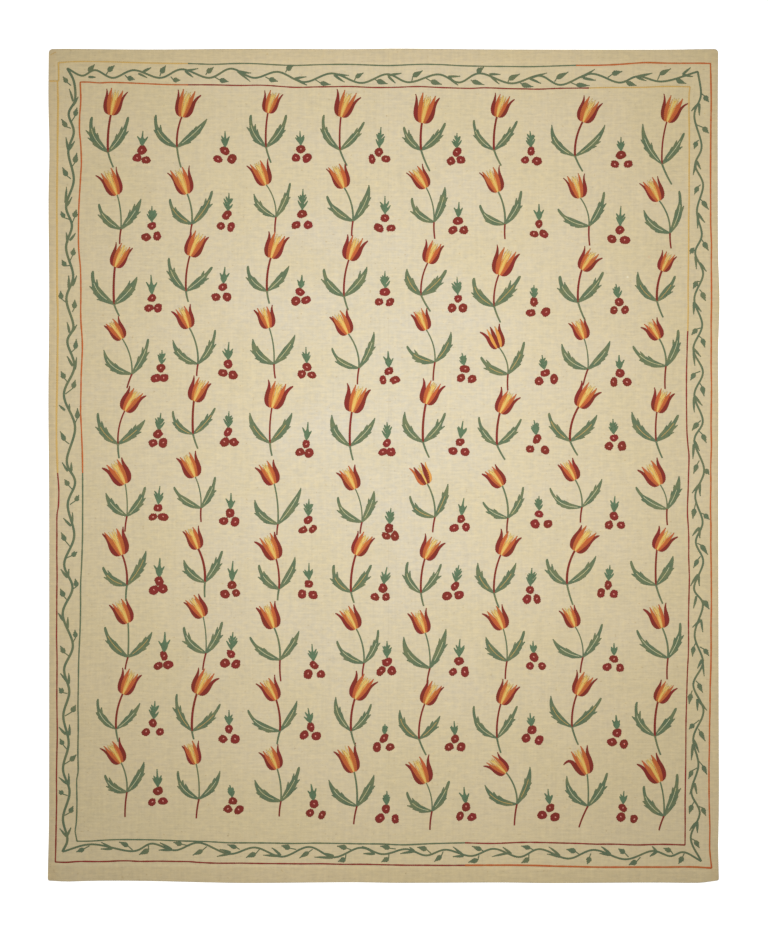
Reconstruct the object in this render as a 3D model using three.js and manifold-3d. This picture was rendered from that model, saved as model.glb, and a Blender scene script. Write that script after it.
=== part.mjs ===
// Suzani kilim rug: one flat-woven cotton cloth with its four edges turned under and sewn down as
// hems. The cloth lies flat on the floor, +Z up, with the rug's head end towards +Y.
// The yarn embroidery lies on top of this cloth and isn't part of the solid.
// All sizes are in millimetres.
import * as THREE from 'three';
import { mergeVertices } from 'three/addons/utils/BufferGeometryUtils.js';
import Module from 'manifold-3d';

// Driving dimensions of the finished rug
const RUG_WIDTH = 2450;
const RUG_LENGTH = 3050;
const CLOTH_THICKNESS = 2.4;
const HEM_THICKNESS = 3.8;

// Distance from each edge of the rug to the inner edge of its hem, at the two ends of the hem
const HEAD_HEM = { left: 50, right: 51 };
const FOOT_HEM = { left: 68, right: 46 };
const LEFT_HEM = { head: 29, foot: 21 };
const RIGHT_HEM = { head: 22, foot: 18 };

// The fold along the rim is soft, so its top and bottom edges are rounded off
const FOLD_ROUNDING = 1.1;
const FOLD_ROUNDING_STEPS = 2;

// The single layer runs this far in under the hem, where the two are one cloth
const CLOTH_UNDER_HEM = 9;

// The two head corners are small arcs. The foot corners are tighter, and the foot edge slopes up to them.
const HEAD_CORNER_RADIUS = 14;
const FOOT_CORNER_RADIUS = 7;
const CORNER_STEPS = 4;

// Distance between the points that an edge is drawn with
const EDGE_STEP = 60;

// How far the rug's edges wander outwards (+) or inwards (-) from a straight line.
// "at" is the place along the edge, from the middle of the rug.
const LEFT_EDGE = [
  { at: 1330, out: 1.3 },
  { at: 1150, out: -2.6 },
  { at: 970, out: 0.9 },
  { at: 605, out: -1.6 },
  { at: 240, out: 1.3 },
  { at: -125, out: -1.3 },
  { at: -490, out: -1.6 },
  { at: -1220, out: -1.2 },
  { at: -1400, out: 0.9 },
  { at: -1480, out: 3.4 },
];
const RIGHT_EDGE = [
  { at: 1330, out: -1.2 },
  { at: 1150, out: -1.4 },
  { at: 790, out: -0.4 },
  { at: 605, out: 5.0 },
  { at: 420, out: -0.4 },
  { at: 240, out: 1.0 },
  { at: -125, out: 0.4 },
  { at: -860, out: 1.8 },
  { at: -1220, out: 2.6 },
  { at: -1400, out: -0.4 },
  { at: -1480, out: 2.4 },
];
const HEAD_EDGE = [
  { at: -1180, out: 1.0 },
  { at: -850, out: -1.8 },
  { at: -485, out: 1.0 },
  { at: -120, out: -0.4 },
  { at: 60, out: 1.8 },
  { at: 430, out: -1.5 },
  { at: 980, out: -2.5 },
  { at: 1160, out: -0.4 },
];
const FOOT_EDGE = [
  { at: -1205, out: -6.4 },
  { at: -1180, out: -2.6 },
  { at: -1040, out: -6.2 },
  { at: -850, out: -5.1 },
  { at: -670, out: -0.7 },
  { at: -485, out: 2.2 },
  { at: -120, out: -0.6 },
  { at: 60, out: 1.8 },
  { at: 430, out: 0.4 },
  { at: 610, out: 2.6 },
  { at: 980, out: 0.6 },
  { at: 1145, out: 2.2 },
  { at: 1185, out: -1.4 },
  { at: 1210, out: -6.6 },
];

const HALF_WIDTH = RUG_WIDTH / 2;
const HALF_LENGTH = RUG_LENGTH / 2;

const wasm = await Module();
wasm.setup();

// A corner as a quarter arc of equal steps, clockwise
function corner(x, y, radius, startAngle) {
  const centreX = x - Math.sign(x) * radius;
  const centreY = y - Math.sign(y) * radius;
  const points = [];
  for (let step = 0; step <= CORNER_STEPS; step += 1) {
    const angle = startAngle - (Math.PI / 2) * (step / CORNER_STEPS);
    points.push(new THREE.Vector2(
      centreX + radius * Math.cos(angle),
      centreY + radius * Math.sin(angle),
    ));
  }
  return points;
}

// The rug's outline, clockwise from the left end of the head edge: four smooth wandering edges
// with a corner arc between each two
function rugOutline() {
  const head = HEAD_EDGE.map((p) => new THREE.Vector2(p.at, HALF_LENGTH + p.out));
  const right = RIGHT_EDGE.map((p) => new THREE.Vector2(HALF_WIDTH + p.out, p.at));
  const foot = FOOT_EDGE.map((p) => new THREE.Vector2(p.at, -HALF_LENGTH - p.out)).reverse();
  const left = LEFT_EDGE.map((p) => new THREE.Vector2(-HALF_WIDTH - p.out, p.at)).reverse();
  const headLeft = corner(-HALF_WIDTH, HALF_LENGTH, HEAD_CORNER_RADIUS, Math.PI);
  const headRight = corner(HALF_WIDTH, HALF_LENGTH, HEAD_CORNER_RADIUS, Math.PI / 2);
  const footRight = corner(right.at(-1).x, foot[0].y, FOOT_CORNER_RADIUS, 0);
  const footLeft = corner(left[0].x, foot.at(-1).y, FOOT_CORNER_RADIUS, -Math.PI / 2);
  return [
    ...smoothEdge(headLeft, head, headRight),
    ...headRight.slice(1, -1),
    ...smoothEdge(headRight, right, footRight),
    ...footRight.slice(1, -1),
    ...smoothEdge(footRight, foot, footLeft),
    ...footLeft.slice(1, -1),
    ...smoothEdge(footLeft, left, headLeft),
    ...headLeft.slice(1, -1),
  ];
}

// Points at even steps along one edge, from the end of one corner to the start of the next
function smoothEdge(cornerBefore, points, cornerAfter) {
  const curve = new THREE.SplineCurve([cornerBefore.at(-1), ...points, cornerAfter[0]]);
  return curve.getSpacedPoints(Math.ceil(curve.getLength() / EDGE_STEP));
}

// The inner edge of the four hems: nearly a rectangle, a little wider at the foot
function hemInnerEdge() {
  return [
    new THREE.Vector2(-HALF_WIDTH + LEFT_HEM.head, HALF_LENGTH - HEAD_HEM.left),
    new THREE.Vector2(HALF_WIDTH - RIGHT_HEM.head, HALF_LENGTH - HEAD_HEM.right),
    new THREE.Vector2(HALF_WIDTH - RIGHT_HEM.foot, -HALF_LENGTH + FOOT_HEM.right),
    new THREE.Vector2(-HALF_WIDTH + LEFT_HEM.foot, -HALF_LENGTH + FOOT_HEM.left),
  ];
}

// The turned hems: a frame of double cloth, rounded along its fold and its sewn edge.
// The hole runs the other way round than the outline does.
function hemFrame() {
  const shape = new THREE.Shape(rugOutline());
  shape.holes.push(new THREE.Path(hemInnerEdge().reverse()));
  const geometry = new THREE.ExtrudeGeometry(shape, {
    depth: HEM_THICKNESS - 2 * FOLD_ROUNDING,
    bevelEnabled: true,
    bevelThickness: FOLD_ROUNDING,
    bevelSize: FOLD_ROUNDING,
    bevelOffset: -FOLD_ROUNDING,
    bevelSegments: FOLD_ROUNDING_STEPS,
  });
  geometry.translate(0, 0, FOLD_ROUNDING);
  return geometry;
}

// The single layer of cloth inside the hems
function fieldCloth() {
  const reach = hemInnerEdge().map((p) => new THREE.Vector2(
    p.x + Math.sign(p.x) * CLOTH_UNDER_HEM,
    p.y + Math.sign(p.y) * CLOTH_UNDER_HEM,
  ));
  return new THREE.ExtrudeGeometry(new THREE.Shape(reach), {
    depth: CLOTH_THICKNESS,
    bevelEnabled: false,
  });
}

function toSolid(geometry) {
  geometry.deleteAttribute('normal');
  geometry.deleteAttribute('uv');
  const merged = mergeVertices(geometry);
  return new wasm.Manifold(new wasm.Mesh({
    numProp: 3,
    vertProperties: new Float32Array(merged.attributes.position.array),
    triVerts: new Uint32Array(merged.index.array),
  }));
}

function toGeometry(solid) {
  const mesh = solid.getMesh();
  const geometry = new THREE.BufferGeometry();
  geometry.setAttribute('position', new THREE.BufferAttribute(mesh.vertProperties, 3));
  geometry.setIndex(new THREE.BufferAttribute(mesh.triVerts, 1));
  return geometry;
}

// The origin is the middle of the finished rug, on the floor
function centreOnFloor(geometry) {
  geometry.computeBoundingBox();
  const middle = geometry.boundingBox.getCenter(new THREE.Vector3());
  geometry.translate(-middle.x, -middle.y, -geometry.boundingBox.min.z);
  geometry.computeVertexNormals();
  return geometry;
}

const strawCotton = new THREE.MeshStandardMaterial({
  color: '#d3c19c',
  roughness: 0.95,
  metalness: 0,
});

const cloth = new THREE.Mesh(
  centreOnFloor(toGeometry(toSolid(hemFrame()).add(toSolid(fieldCloth())))),
  strawCotton,
);
cloth.name = 'kilim_cloth';

const rug = new THREE.Group();
rug.add(cloth);

export default rug;
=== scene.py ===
# %% [markdown]
# # A suzani kilim rug
# The rug is one flat-woven cotton cloth with its edges turned under, laid flat and seen from straight above.
# On it lies the needlework: rows of tulips and berry sprigs in wool chain stitch, inside a double frame of
# thin lines with a leafy vine between them.
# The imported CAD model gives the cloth's size and place. Everything here is built in that same frame, in
# metres.

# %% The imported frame
import math

import bmesh
import bpy
import numpy as np
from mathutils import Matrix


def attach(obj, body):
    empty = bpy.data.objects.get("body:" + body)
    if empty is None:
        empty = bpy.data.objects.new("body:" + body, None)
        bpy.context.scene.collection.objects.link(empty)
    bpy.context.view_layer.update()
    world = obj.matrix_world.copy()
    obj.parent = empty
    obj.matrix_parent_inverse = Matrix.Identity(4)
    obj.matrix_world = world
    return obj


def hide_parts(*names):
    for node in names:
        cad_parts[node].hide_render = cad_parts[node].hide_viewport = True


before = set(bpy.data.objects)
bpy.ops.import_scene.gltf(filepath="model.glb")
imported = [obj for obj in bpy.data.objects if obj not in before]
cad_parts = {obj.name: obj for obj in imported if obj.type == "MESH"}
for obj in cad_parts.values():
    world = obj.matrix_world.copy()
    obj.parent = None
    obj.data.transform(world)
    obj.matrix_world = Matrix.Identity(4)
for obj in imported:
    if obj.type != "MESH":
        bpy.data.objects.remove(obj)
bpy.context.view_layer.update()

# %% [markdown]
# ## Sizes that everything shares
# The rug measures 2.45 by 3.05 m. In the photograph it is about 670 by 833 pixels, so one pixel is 3.66 mm.
# The places of the motifs were read from enlarged crops, in whole pixels, and one function turns them
# into millimetres on the cloth. The shapes of the motifs themselves are worked out by formula further down.

# %% Sizes, and the step from the photograph to the cloth
MM = 0.001
RUG_WIDTH = 2450
RUG_LENGTH = 3050
CLOTH_THICKNESS = 2.4
HEM_THICKNESS = 3.8
PHOTO_SIZE = (768, 932)
MM_PER_PX = 3.66
RUG_MIDDLE_PX = (383.7, 465.8)
NEEDLE_SEED = 4469


def on_cloth(px, py):
    """A place in the photograph as millimetres on the cloth, from the middle of the rug."""
    return np.array([(px - RUG_MIDDLE_PX[0]) * MM_PER_PX, (RUG_MIDDLE_PX[1] - py) * MM_PER_PX])


def link_new(name, data):
    """A new object in the scene that shows the given data."""
    thing = bpy.data.objects.new(name, data)
    bpy.context.scene.collection.objects.link(thing)
    return thing


def face_outwards(mesh):
    """Turns all faces of a closed mesh outwards, and says how many edges are open."""
    loose = bmesh.new()
    loose.from_mesh(mesh)
    bmesh.ops.recalc_face_normals(loose, faces=loose.faces)
    loose.to_mesh(mesh)
    open_edges = sum(1 for edge in loose.edges if len(edge.link_faces) != 2)
    loose.free()
    return open_edges


needle = np.random.default_rng(NEEDLE_SEED)
print("one photograph pixel is", MM_PER_PX, "mm; the middle pixel lies at", on_cloth(384, 466))

# %% [markdown]
# ## Camera
# The photograph looks straight down, with the rug filling the frame. A long lens from 9 m up gives the same
# flat view. The picture is taller than wide, so the sensor's width counts for the long side.

# %% Camera
CAMERA_HEIGHT_M = 9.0
SENSOR_MM = 36.0
long_side_m = PHOTO_SIZE[1] * MM_PER_PX * MM

camera_data = bpy.data.cameras.new("overhead_camera")
camera_data.sensor_width = SENSOR_MM
camera_data.lens = SENSOR_MM * CAMERA_HEIGHT_M / long_side_m
camera = link_new("overhead_camera", camera_data)
camera_x, camera_y = on_cloth(PHOTO_SIZE[0] / 2, PHOTO_SIZE[1] / 2) * MM
camera.location = (camera_x, camera_y, CAMERA_HEIGHT_M + CLOTH_THICKNESS * MM)
bpy.context.scene.camera = camera
print("lens", round(camera_data.lens, 2), "mm")

# %% [markdown]
# ## Nodes and colours
# Two small helpers serve every material. One turns an sRGB hex value, as a colour is read off the cloth, into
# the linear numbers that Blender mixes light with. The other adds a node, sets its properties and joins its
# inputs to values or to other nodes' outputs.

# %% Helpers for colours and nodes


def linear(hex_colour):
    """An sRGB hex value as linear red, green, blue and alpha."""
    channels = [int(hex_colour[i:i + 2], 16) / 255 for i in (1, 3, 5)]
    straight = [c / 12.92 if c <= 0.04045 else ((c + 0.055) / 1.055) ** 2.4 for c in channels]
    return (*straight, 1.0)


def add_node(tree, kind, inputs=None, **settings):
    """A new node with its settings. Each input is given a value, or a socket to link from."""
    node = tree.nodes.new(kind)
    for name, value in settings.items():
        setattr(node, name, value)
    for socket, source in (inputs or {}).items():
        if isinstance(source, bpy.types.NodeSocket):
            tree.links.new(source, node.inputs[socket])
        else:
            node.inputs[socket].default_value = source
    return node


def new_material(name, roughness, specular):
    """A material with its tree, its shader and the object coordinates that patterns read."""
    material = bpy.data.materials.new(name)
    material.use_nodes = True
    tree = material.node_tree
    shader = tree.nodes["Principled BSDF"]
    shader.inputs["Roughness"].default_value = roughness
    shader.inputs["Specular IOR Level"].default_value = specular
    place = add_node(tree, "ShaderNodeTexCoord").outputs["Object"]
    return material, tree, shader, place


print("linear value of a mid straw tone:", [round(c, 3) for c in linear("#c1b8a0")])

# %% [markdown]
# ## Floor and light
# The rug lies on a plain white floor. The photograph's light is strongest over the middle of the rug and
# falls off towards the edges, most of all at the foot, as one soft lamp hung low over the middle gives. A
# white world fills the rest. The floor glows a little, as a light table does, so that it stays plain white
# round the rug.

# %% Floor, lamp and world
FLOOR_DROP_M = 0.0004
FLOOR_HALF_M = 20.0
FLOOR_GLOW = 0.45
LAMP_SIZE_M = 1.2
LAMP_WATTS = 102
LAMP_PLACE_M = (0.10, 0.26, 3.0)
WORLD_GLOW = 0.35
WHITE = (1, 1, 1, 1)

floor_corners = []
for x, y in ((-1, -1), (1, -1), (1, 1), (-1, 1)):
    floor_corners.append((x * FLOOR_HALF_M, y * FLOOR_HALF_M, -FLOOR_DROP_M))
floor_mesh = bpy.data.meshes.new("floor")
floor_mesh.from_pydata(floor_corners, [], [(0, 1, 2, 3)])
floor = link_new("floor", floor_mesh)
floor_paint, _, floor_shader, _ = new_material("white_floor_paint", 0.9, 0.2)
floor_shader.inputs["Base Color"].default_value = (0.9, 0.9, 0.9, 1)
floor_shader.inputs["Emission Color"].default_value = WHITE
floor_shader.inputs["Emission Strength"].default_value = FLOOR_GLOW
floor_mesh.materials.append(floor_paint)

lamp_data = bpy.data.lights.new("softbox", "AREA")
lamp_data.shape = "DISK"
lamp_data.size = LAMP_SIZE_M
lamp_data.energy = LAMP_WATTS
lamp_data.color = WHITE[:3]
lamp = link_new("softbox", lamp_data)
lamp.location = LAMP_PLACE_M

world = bpy.data.worlds.new("studio")
world.use_nodes = True
world.node_tree.nodes["Background"].inputs["Color"].default_value = WHITE
world.node_tree.nodes["Background"].inputs["Strength"].default_value = WORLD_GLOW
bpy.context.scene.world = world
bpy.context.scene.view_settings.view_transform = "Standard"
print("floor, softbox and world are in place")

# %% [markdown]
# ## The shape of the cloth
# A kilim that has been folded for storage keeps soft creases, and it is never perfectly even. One function
# says how high the cloth's face is at any place, so that the cloth and the stitches on it agree. One crease
# runs the whole length near the middle, and fainter ones lie beside it and across. Slow waves a tenth of a
# millimetre high make the rest uneven.

# %% Height of the cloth's face
LONG_CREASES = [
    {"x": 17.6, "depth": 0.5, "half": 4.5},
    {"x": -599, "depth": 0.16, "half": 9},
    {"x": 631, "depth": 0.14, "half": 8},
]
CROSS_CREASES = [
    {"y": 394, "depth": 0.16, "half": 7},
    {"y": 118, "depth": 0.2, "half": 8},
    {"y": -735, "depth": 0.1, "half": 9},
]


def cloth_height(x, y):
    """Height of the cloth's face in millimetres, for places in millimetres inside the hems."""
    x = np.asarray(x, float)
    y = np.asarray(y, float)
    height = CLOTH_THICKNESS + 0.12 * np.sin(x / 171 + 1.3 * np.sin(y / 390))
    height = height + 0.08 * np.sin(y / 121 + 0.8) + 0.05 * np.sin((x + 0.7 * y) / 67)
    for crease in LONG_CREASES:
        height = height - crease["depth"] * np.exp(-((x - crease["x"]) / crease["half"]) ** 2)
    for crease in CROSS_CREASES:
        height = height - crease["depth"] * np.exp(-((y - crease["y"]) / crease["half"]) ** 2)
    return height


print("cloth face at the middle:", round(float(cloth_height(0, 0)), 2), "mm up")

# %% [markdown]
# ## The ground cloth
# The cloth and its turned hems are one piece. The outline is taken from the CAD node, so the edge wanders as
# the real one does. From the outline, rings of points go round the soft fold, across the doubled hem and down
# the step to the single layer, and a grid fills the middle. A grid with a ring round it keeps the faces even,
# where a filled outline would give long thin ones that shade badly.

# %% Outline of the cloth, split at its four corners
HEM_CORNERS = [(-1196, 1475), (1203, 1474), (1207, -1479), (-1204, -1457)]
RIM_BEYOND_M = (1.215, 1.5)
RIM_BAND_M = (0.001, 0.0015)

node_points = np.array([v.co[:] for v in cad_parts["kilim_cloth"].data.vertices])
is_rim = (abs(node_points[:, 0]) > RIM_BEYOND_M[0]) | (abs(node_points[:, 1]) > RIM_BEYOND_M[1])
is_rim &= node_points[:, 2] > RIM_BAND_M[0]
is_rim &= node_points[:, 2] < RIM_BAND_M[1]
rim = np.unique(node_points[is_rim][:, :2].round(6), axis=0) / MM
rim = rim[np.argsort(-np.arctan2(rim[:, 1], rim[:, 0]))]
corner_at = [int(np.argmax(rim @ np.array(way))) for way in ((-1, 1), (1, 1), (1, -1), (-1, -1))]
rim = np.roll(rim, -corner_at[0], axis=0)
corner_at = [(at - corner_at[0]) % len(rim) for at in corner_at] + [len(rim)]
rim = np.vstack([rim, rim[:1]])
rim_sides = [rim[corner_at[i]:corner_at[i + 1] + 1] for i in range(4)]
print("outline of", len(rim) - 1, "points, sides of", [len(side) for side in rim_sides])

# %% Where the grid's lines run
GRID_CELL = 25
CORNER_STEPS = [0.0012, 0.0024, 0.0036, 0.0052, 0.0075]


def grid_fractions(length, extra):
    """Places from 0 to 1 along a side, closer together at both ends and at a crease."""
    even = np.arange(1, round(length / GRID_CELL)) * GRID_CELL / length
    ends = CORNER_STEPS + [1 - step for step in CORNER_STEPS]
    places = [f for f in even if all(abs(f - e) > 3 / length for e in extra)]
    return np.array(sorted([0.0, 1.0] + ends + list(extra) + places))


def along(line, fractions):
    """Points at the given fractions of a line's length."""
    steps = np.hypot(*np.diff(line, axis=0).T)
    reach = np.concatenate([[0], np.cumsum(steps)])
    wanted = np.asarray(fractions) * reach[-1]
    return np.stack([np.interp(wanted, reach, line[:, 0]), np.interp(wanted, reach, line[:, 1])], axis=1)


crease_lines = []
for crease in LONG_CREASES:
    for offset in (-2, -1, -0.5, 0, 0.5, 1, 2):
        crease_lines.append((crease["x"] + offset * crease["half"] + RUG_WIDTH / 2) / RUG_WIDTH)
cross_lines = []
for crease in CROSS_CREASES:
    for offset in (-1.5, -0.7, 0, 0.7, 1.5):
        cross_lines.append((RUG_LENGTH / 2 - crease["y"] - offset * crease["half"]) / RUG_LENGTH)
across = grid_fractions(RUG_WIDTH, crease_lines)
down = grid_fractions(RUG_LENGTH, cross_lines)
print("grid of", len(across), "by", len(down), "lines")

# %% Mesh of the ground cloth
FOLD_PROFILE = [(3.0, 0.0), (1.1, 0.2), (0.2, 0.9), (0.0, 1.9), (0.2, 2.9), (1.1, 3.6), (3.0, HEM_THICKNESS)]
HEM_STEP = [(9.0, HEM_THICKNESS), (5.0, 3.7), (2.5, 3.35), (0.8, 2.8)]


def loop_round(sides):
    """One closed loop from four sides, each from corner to corner, without doubled corners."""
    return np.vstack([side[:-1] for side in sides])


side_fractions = [across, down, 1 - across[::-1], 1 - down[::-1]]
hem_corners = np.array(HEM_CORNERS, float)
outer_loop = loop_round([along(side, f) for side, f in zip(rim_sides, side_fractions)])
inner_sides = []
for i, fractions in enumerate(side_fractions):
    start, end = hem_corners[i], hem_corners[(i + 1) % 4]
    inner_sides.append(start + (end - start) * fractions[:, None])
inner_loop = loop_round(inner_sides)
inward = inner_loop - outer_loop
hem_reach = np.hypot(*inward.T)[:, None]
inward = inward / hem_reach

rings = [(outer_loop + inward * inset, height) for inset, height in FOLD_PROFILE]
rings += [(inner_loop - inward * before, height) for before, height in HEM_STEP]
cloth_points = []
for ring, height in rings:
    cloth_points += [(x, y, height) for x, y in ring]

head_line = hem_corners[0] + (hem_corners[1] - hem_corners[0]) * across[:, None]
foot_line = hem_corners[3] + (hem_corners[2] - hem_corners[3]) * across[:, None]
field = head_line[None] + (foot_line - head_line)[None] * down[:, None, None]
field_height = cloth_height(field[..., 0], field[..., 1])
columns = len(across)
rows_down = len(down)
face_start = len(cloth_points)
cloth_points += [(x, y, z) for (x, y), z in zip(field.reshape(-1, 2), field_height.reshape(-1))]
back_start = len(cloth_points)
cloth_points += [(x, y, 0.0) for x, y in field.reshape(-1, 2)]

cloth_faces = []
around = len(outer_loop)
for ring in range(len(rings) - 1):
    for i in range(around):
        j = (i + 1) % around
        first = ring * around
        cloth_faces.append((first + i, first + j, first + around + j, first + around + i))
border = list(range(columns - 1))
border += [i * columns + columns - 1 for i in range(rows_down - 1)]
border += [(rows_down - 1) * columns + i for i in range(columns - 1, 0, -1)]
border += [i * columns for i in range(rows_down - 1, 0, -1)]
last_ring = (len(rings) - 1) * around
for i in range(around):
    j = (i + 1) % around
    cloth_faces.append((last_ring + i, last_ring + j, face_start + border[j], face_start + border[i]))
    cloth_faces.append((j, i, back_start + border[i], back_start + border[j]))
for r in range(rows_down - 1):
    for c in range(columns - 1):
        a = r * columns + c
        corners = (a, a + 1, a + columns + 1, a + columns)
        cloth_faces.append(tuple(face_start + k for k in corners))
        cloth_faces.append(tuple(back_start + k for k in reversed(corners)))

cloth_mesh = bpy.data.meshes.new("ground_cloth")
cloth_mesh.from_pydata((np.array(cloth_points) * MM).tolist(), [], cloth_faces)
open_edges = face_outwards(cloth_mesh)
cloth_mesh.polygons.foreach_set("use_smooth", [True] * len(cloth_mesh.polygons))
ground_cloth = link_new("ground_cloth", cloth_mesh)
print("ground cloth:", len(cloth_mesh.polygons), "faces,", open_edges, "open edges")

# %% [markdown]
# ## Undyed cotton, flat-woven
# The cloth is hand-spun cotton, dyed pale straw. Its weft is slubby, so it shows short level streaks a few
# millimetres high, with fainter ones along the warp, a few brown flecks of husk, and slow cloudy changes of
# tone. The middle, under the lamp, is painted paler and less yellow than the edges, a painted sheen. It is
# matt all over. The single threads, 2 to 3 mm apart, show as a faint change of tone and a low bump, with the
# slubs on top.

# %% Material of the ground cloth
SLUB_MM = (70, 6.5)
WARP_MM = (7.5, 120)
THREAD_MM = (7.0, 2.6)
MOTTLE_MM = (20, 14)
CLOUD_MM = 330
FLECK_MM = 9.0
# Painted sheen: size and place of the paler middle, which lies under the lamp.
SHEEN_PATCH_MM = (1180, 1500)
SHEEN_PATCH_SHIFT = -0.16

cotton, tree, shader, place = new_material("flat_woven_cotton", 0.95, 0.12)


def noise_over(tree, place, size_x, size_y, detail=2.0, roughness=0.5, shift=0.0):
    """Noise whose grains measure size_x by size_y millimetres on the cloth."""
    scale = (1 / (size_x * MM), 1 / (size_y * MM), 1 / (size_x * MM))
    inputs = {"Vector": place, "Location": (shift, shift, 0), "Scale": scale}
    mapping = add_node(tree, "ShaderNodeMapping", inputs)
    grain = {"Vector": mapping.outputs[0], "Scale": 1.0, "Detail": detail, "Roughness": roughness}
    return add_node(tree, "ShaderNodeTexNoise", grain).outputs["Fac"]


def reshape(tree, value, low, high, to_low=0.0, to_high=1.0, smooth=False):
    """A value stretched from one span to another, and held at its ends."""
    span = {"Value": value, "From Min": low, "From Max": high, "To Min": to_low, "To Max": to_high}
    kind = "SMOOTHSTEP" if smooth else "LINEAR"
    return add_node(tree, "ShaderNodeMapRange", span, interpolation_type=kind).outputs["Result"]


def calculate(tree, operation, first, second):
    """Two values added, multiplied or compared."""
    return add_node(tree, "ShaderNodeMath", {0: first, 1: second}, operation=operation).outputs[0]


def blend_colours(tree, factor, first, second):
    """A mix of two colours by a factor from 0 to 1."""
    inputs = {"Factor": factor, 6: first, 7: second}
    return add_node(tree, "ShaderNodeMix", inputs, data_type="RGBA").outputs[2]


slub = noise_over(tree, place, *SLUB_MM, detail=3.0, roughness=0.6)
warp = noise_over(tree, place, *WARP_MM, detail=2.0, shift=3.7)
cloud = noise_over(tree, place, CLOUD_MM, CLOUD_MM * 0.7, detail=3.0, shift=8.1)
thread = noise_over(tree, place, *THREAD_MM, detail=1.0, shift=1.9)
fleck = noise_over(tree, place, FLECK_MM * 1.4, FLECK_MM, detail=1.0, shift=5.3)
mottle = noise_over(tree, place, *MOTTLE_MM, detail=3.0, roughness=0.65, shift=2.6)

# Painted sheen: round a middle under the lamp the straw is painted paler and less yellow, and it yellows
# towards the edges.
sheen_patch_scale = (1 / (SHEEN_PATCH_MM[0] * MM), 1 / (SHEEN_PATCH_MM[1] * MM), 0)
sheen_patch_move = (0, SHEEN_PATCH_SHIFT, 0)
patch = add_node(tree, "ShaderNodeMapping", {"Vector": place, "Location": sheen_patch_move, "Scale": sheen_patch_scale})
from_sheen_middle = add_node(tree, "ShaderNodeVectorMath", {0: patch.outputs[0]}, operation="LENGTH")
painted_sheen_fade = reshape(tree, from_sheen_middle.outputs["Value"], 0.15, 1.15)
straw = blend_colours(tree, painted_sheen_fade, linear("#bcb5a4"), linear("#c0b190"))
cloudy = reshape(tree, cloud, 0.36, 0.64)
straw = blend_colours(tree, calculate(tree, "MULTIPLY", cloudy, 0.35), straw, linear("#bcae86"))
yellowed = reshape(tree, mottle, 0.3, 0.7, 0.0, 0.4)
straw = blend_colours(tree, yellowed, straw, linear("#bca97c"))
husk = reshape(tree, fleck, 0.7, 0.78, 0.0, 0.4)
straw = blend_colours(tree, husk, straw, linear("#a08a60"))

tone = calculate(tree, "ADD", reshape(tree, slub, 0.25, 0.75, -0.07, 0.07), 1.03)
tone = calculate(tree, "ADD", tone, reshape(tree, warp, 0.25, 0.75, -0.035, 0.035))
tone = calculate(tree, "ADD", tone, reshape(tree, mottle, 0.25, 0.75, -0.08, 0.09))
tone = calculate(tree, "ADD", tone, reshape(tree, thread, 0.2, 0.8, -0.03, 0.03))
print("slubs", SLUB_MM, "mm; threads", THREAD_MM, "mm")

# %% [markdown]
# The cloth is painted a little darker towards its sides, a painted shade, and a little lighter towards its
# ends.
# Its hems are painted darker and yellower, in part the doubled cloth's own tone and in part a painted shade.
# The fold creases are painted a little darker, a painted shade in their troughs, and a few small marks are
# scattered over the cloth. Each is a soft spot at a place of its own: a mask by distance from that place
# darkens or tints the straw there.

# %% Painted shade in the creases, and small marks
SIDE_PAINTED_SHADE = -0.055
END_LIGHTENING = 0.03
SIDE_HEM_MM = (1190, 1202)
END_HEM_MM = (1455, 1475)
CREASE_PAINTED_SHADE = [(17.6, 3.0, -0.05), (-599, 5.0, -0.012), (631, 5.0, -0.012)]
MARKS = [
    {"px": (386.7, 115.9), "radius": 4.5, "tint": "#8a6f45", "strength": 0.6},
    {"px": (301.2, 313.8), "radius": 4.0, "tint": "#8a6f45", "strength": 0.5},
    {"px": (405.8, 873.3), "radius": 4.5, "tint": "#7d6746", "strength": 0.6},
    {"px": (557, 828), "radius": 4.0, "tint": "#8a7448", "strength": 0.5},
    {"px": (606.5, 831), "radius": 5.0, "tint": "#8a7a55", "strength": 0.4},
    {"px": (228, 835.7), "radius": 5.0, "tint": "#6f5a40", "strength": 0.5},
    {"px": (199.6, 801), "radius": 9.0, "tint": "#c08a6e", "strength": 0.35},
    {"px": (649, 257), "radius": 8.0, "tint": "#c08a6e", "strength": 0.3},
    {"px": (627.6, 277), "radius": 6.0, "tint": "#e0dcc8", "strength": 0.5},
]

sides = add_node(tree, "ShaderNodeSeparateXYZ", {0: place})
sideways = calculate(tree, "ABSOLUTE", sides.outputs[0], 0.0)
endways = calculate(tree, "ABSOLUTE", sides.outputs[1], 0.0)
# Painted shade: the tone falls towards the sides. Towards the ends it rises a little.
tone = calculate(tree, "ADD", tone, reshape(tree, sideways, 0.45, 1.2, 0.0, SIDE_PAINTED_SHADE))
tone = calculate(tree, "ADD", tone, reshape(tree, endways, 0.8, 1.5, 0.0, END_LIGHTENING))
# Painted darker and yellower hems: in part the doubled cloth's own tone, in part a painted shade.
side_hem_tint_and_shade = reshape(tree, sideways, SIDE_HEM_MM[0] * MM, SIDE_HEM_MM[1] * MM, 0.0, 0.2)
straw = blend_colours(tree, side_hem_tint_and_shade, straw, linear("#b3986c"))
end_hem_tint_and_shade = reshape(tree, endways, END_HEM_MM[0] * MM, END_HEM_MM[1] * MM, 0.0, 0.2)
straw = blend_colours(tree, end_hem_tint_and_shade, straw, linear("#b09a70"))
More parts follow.
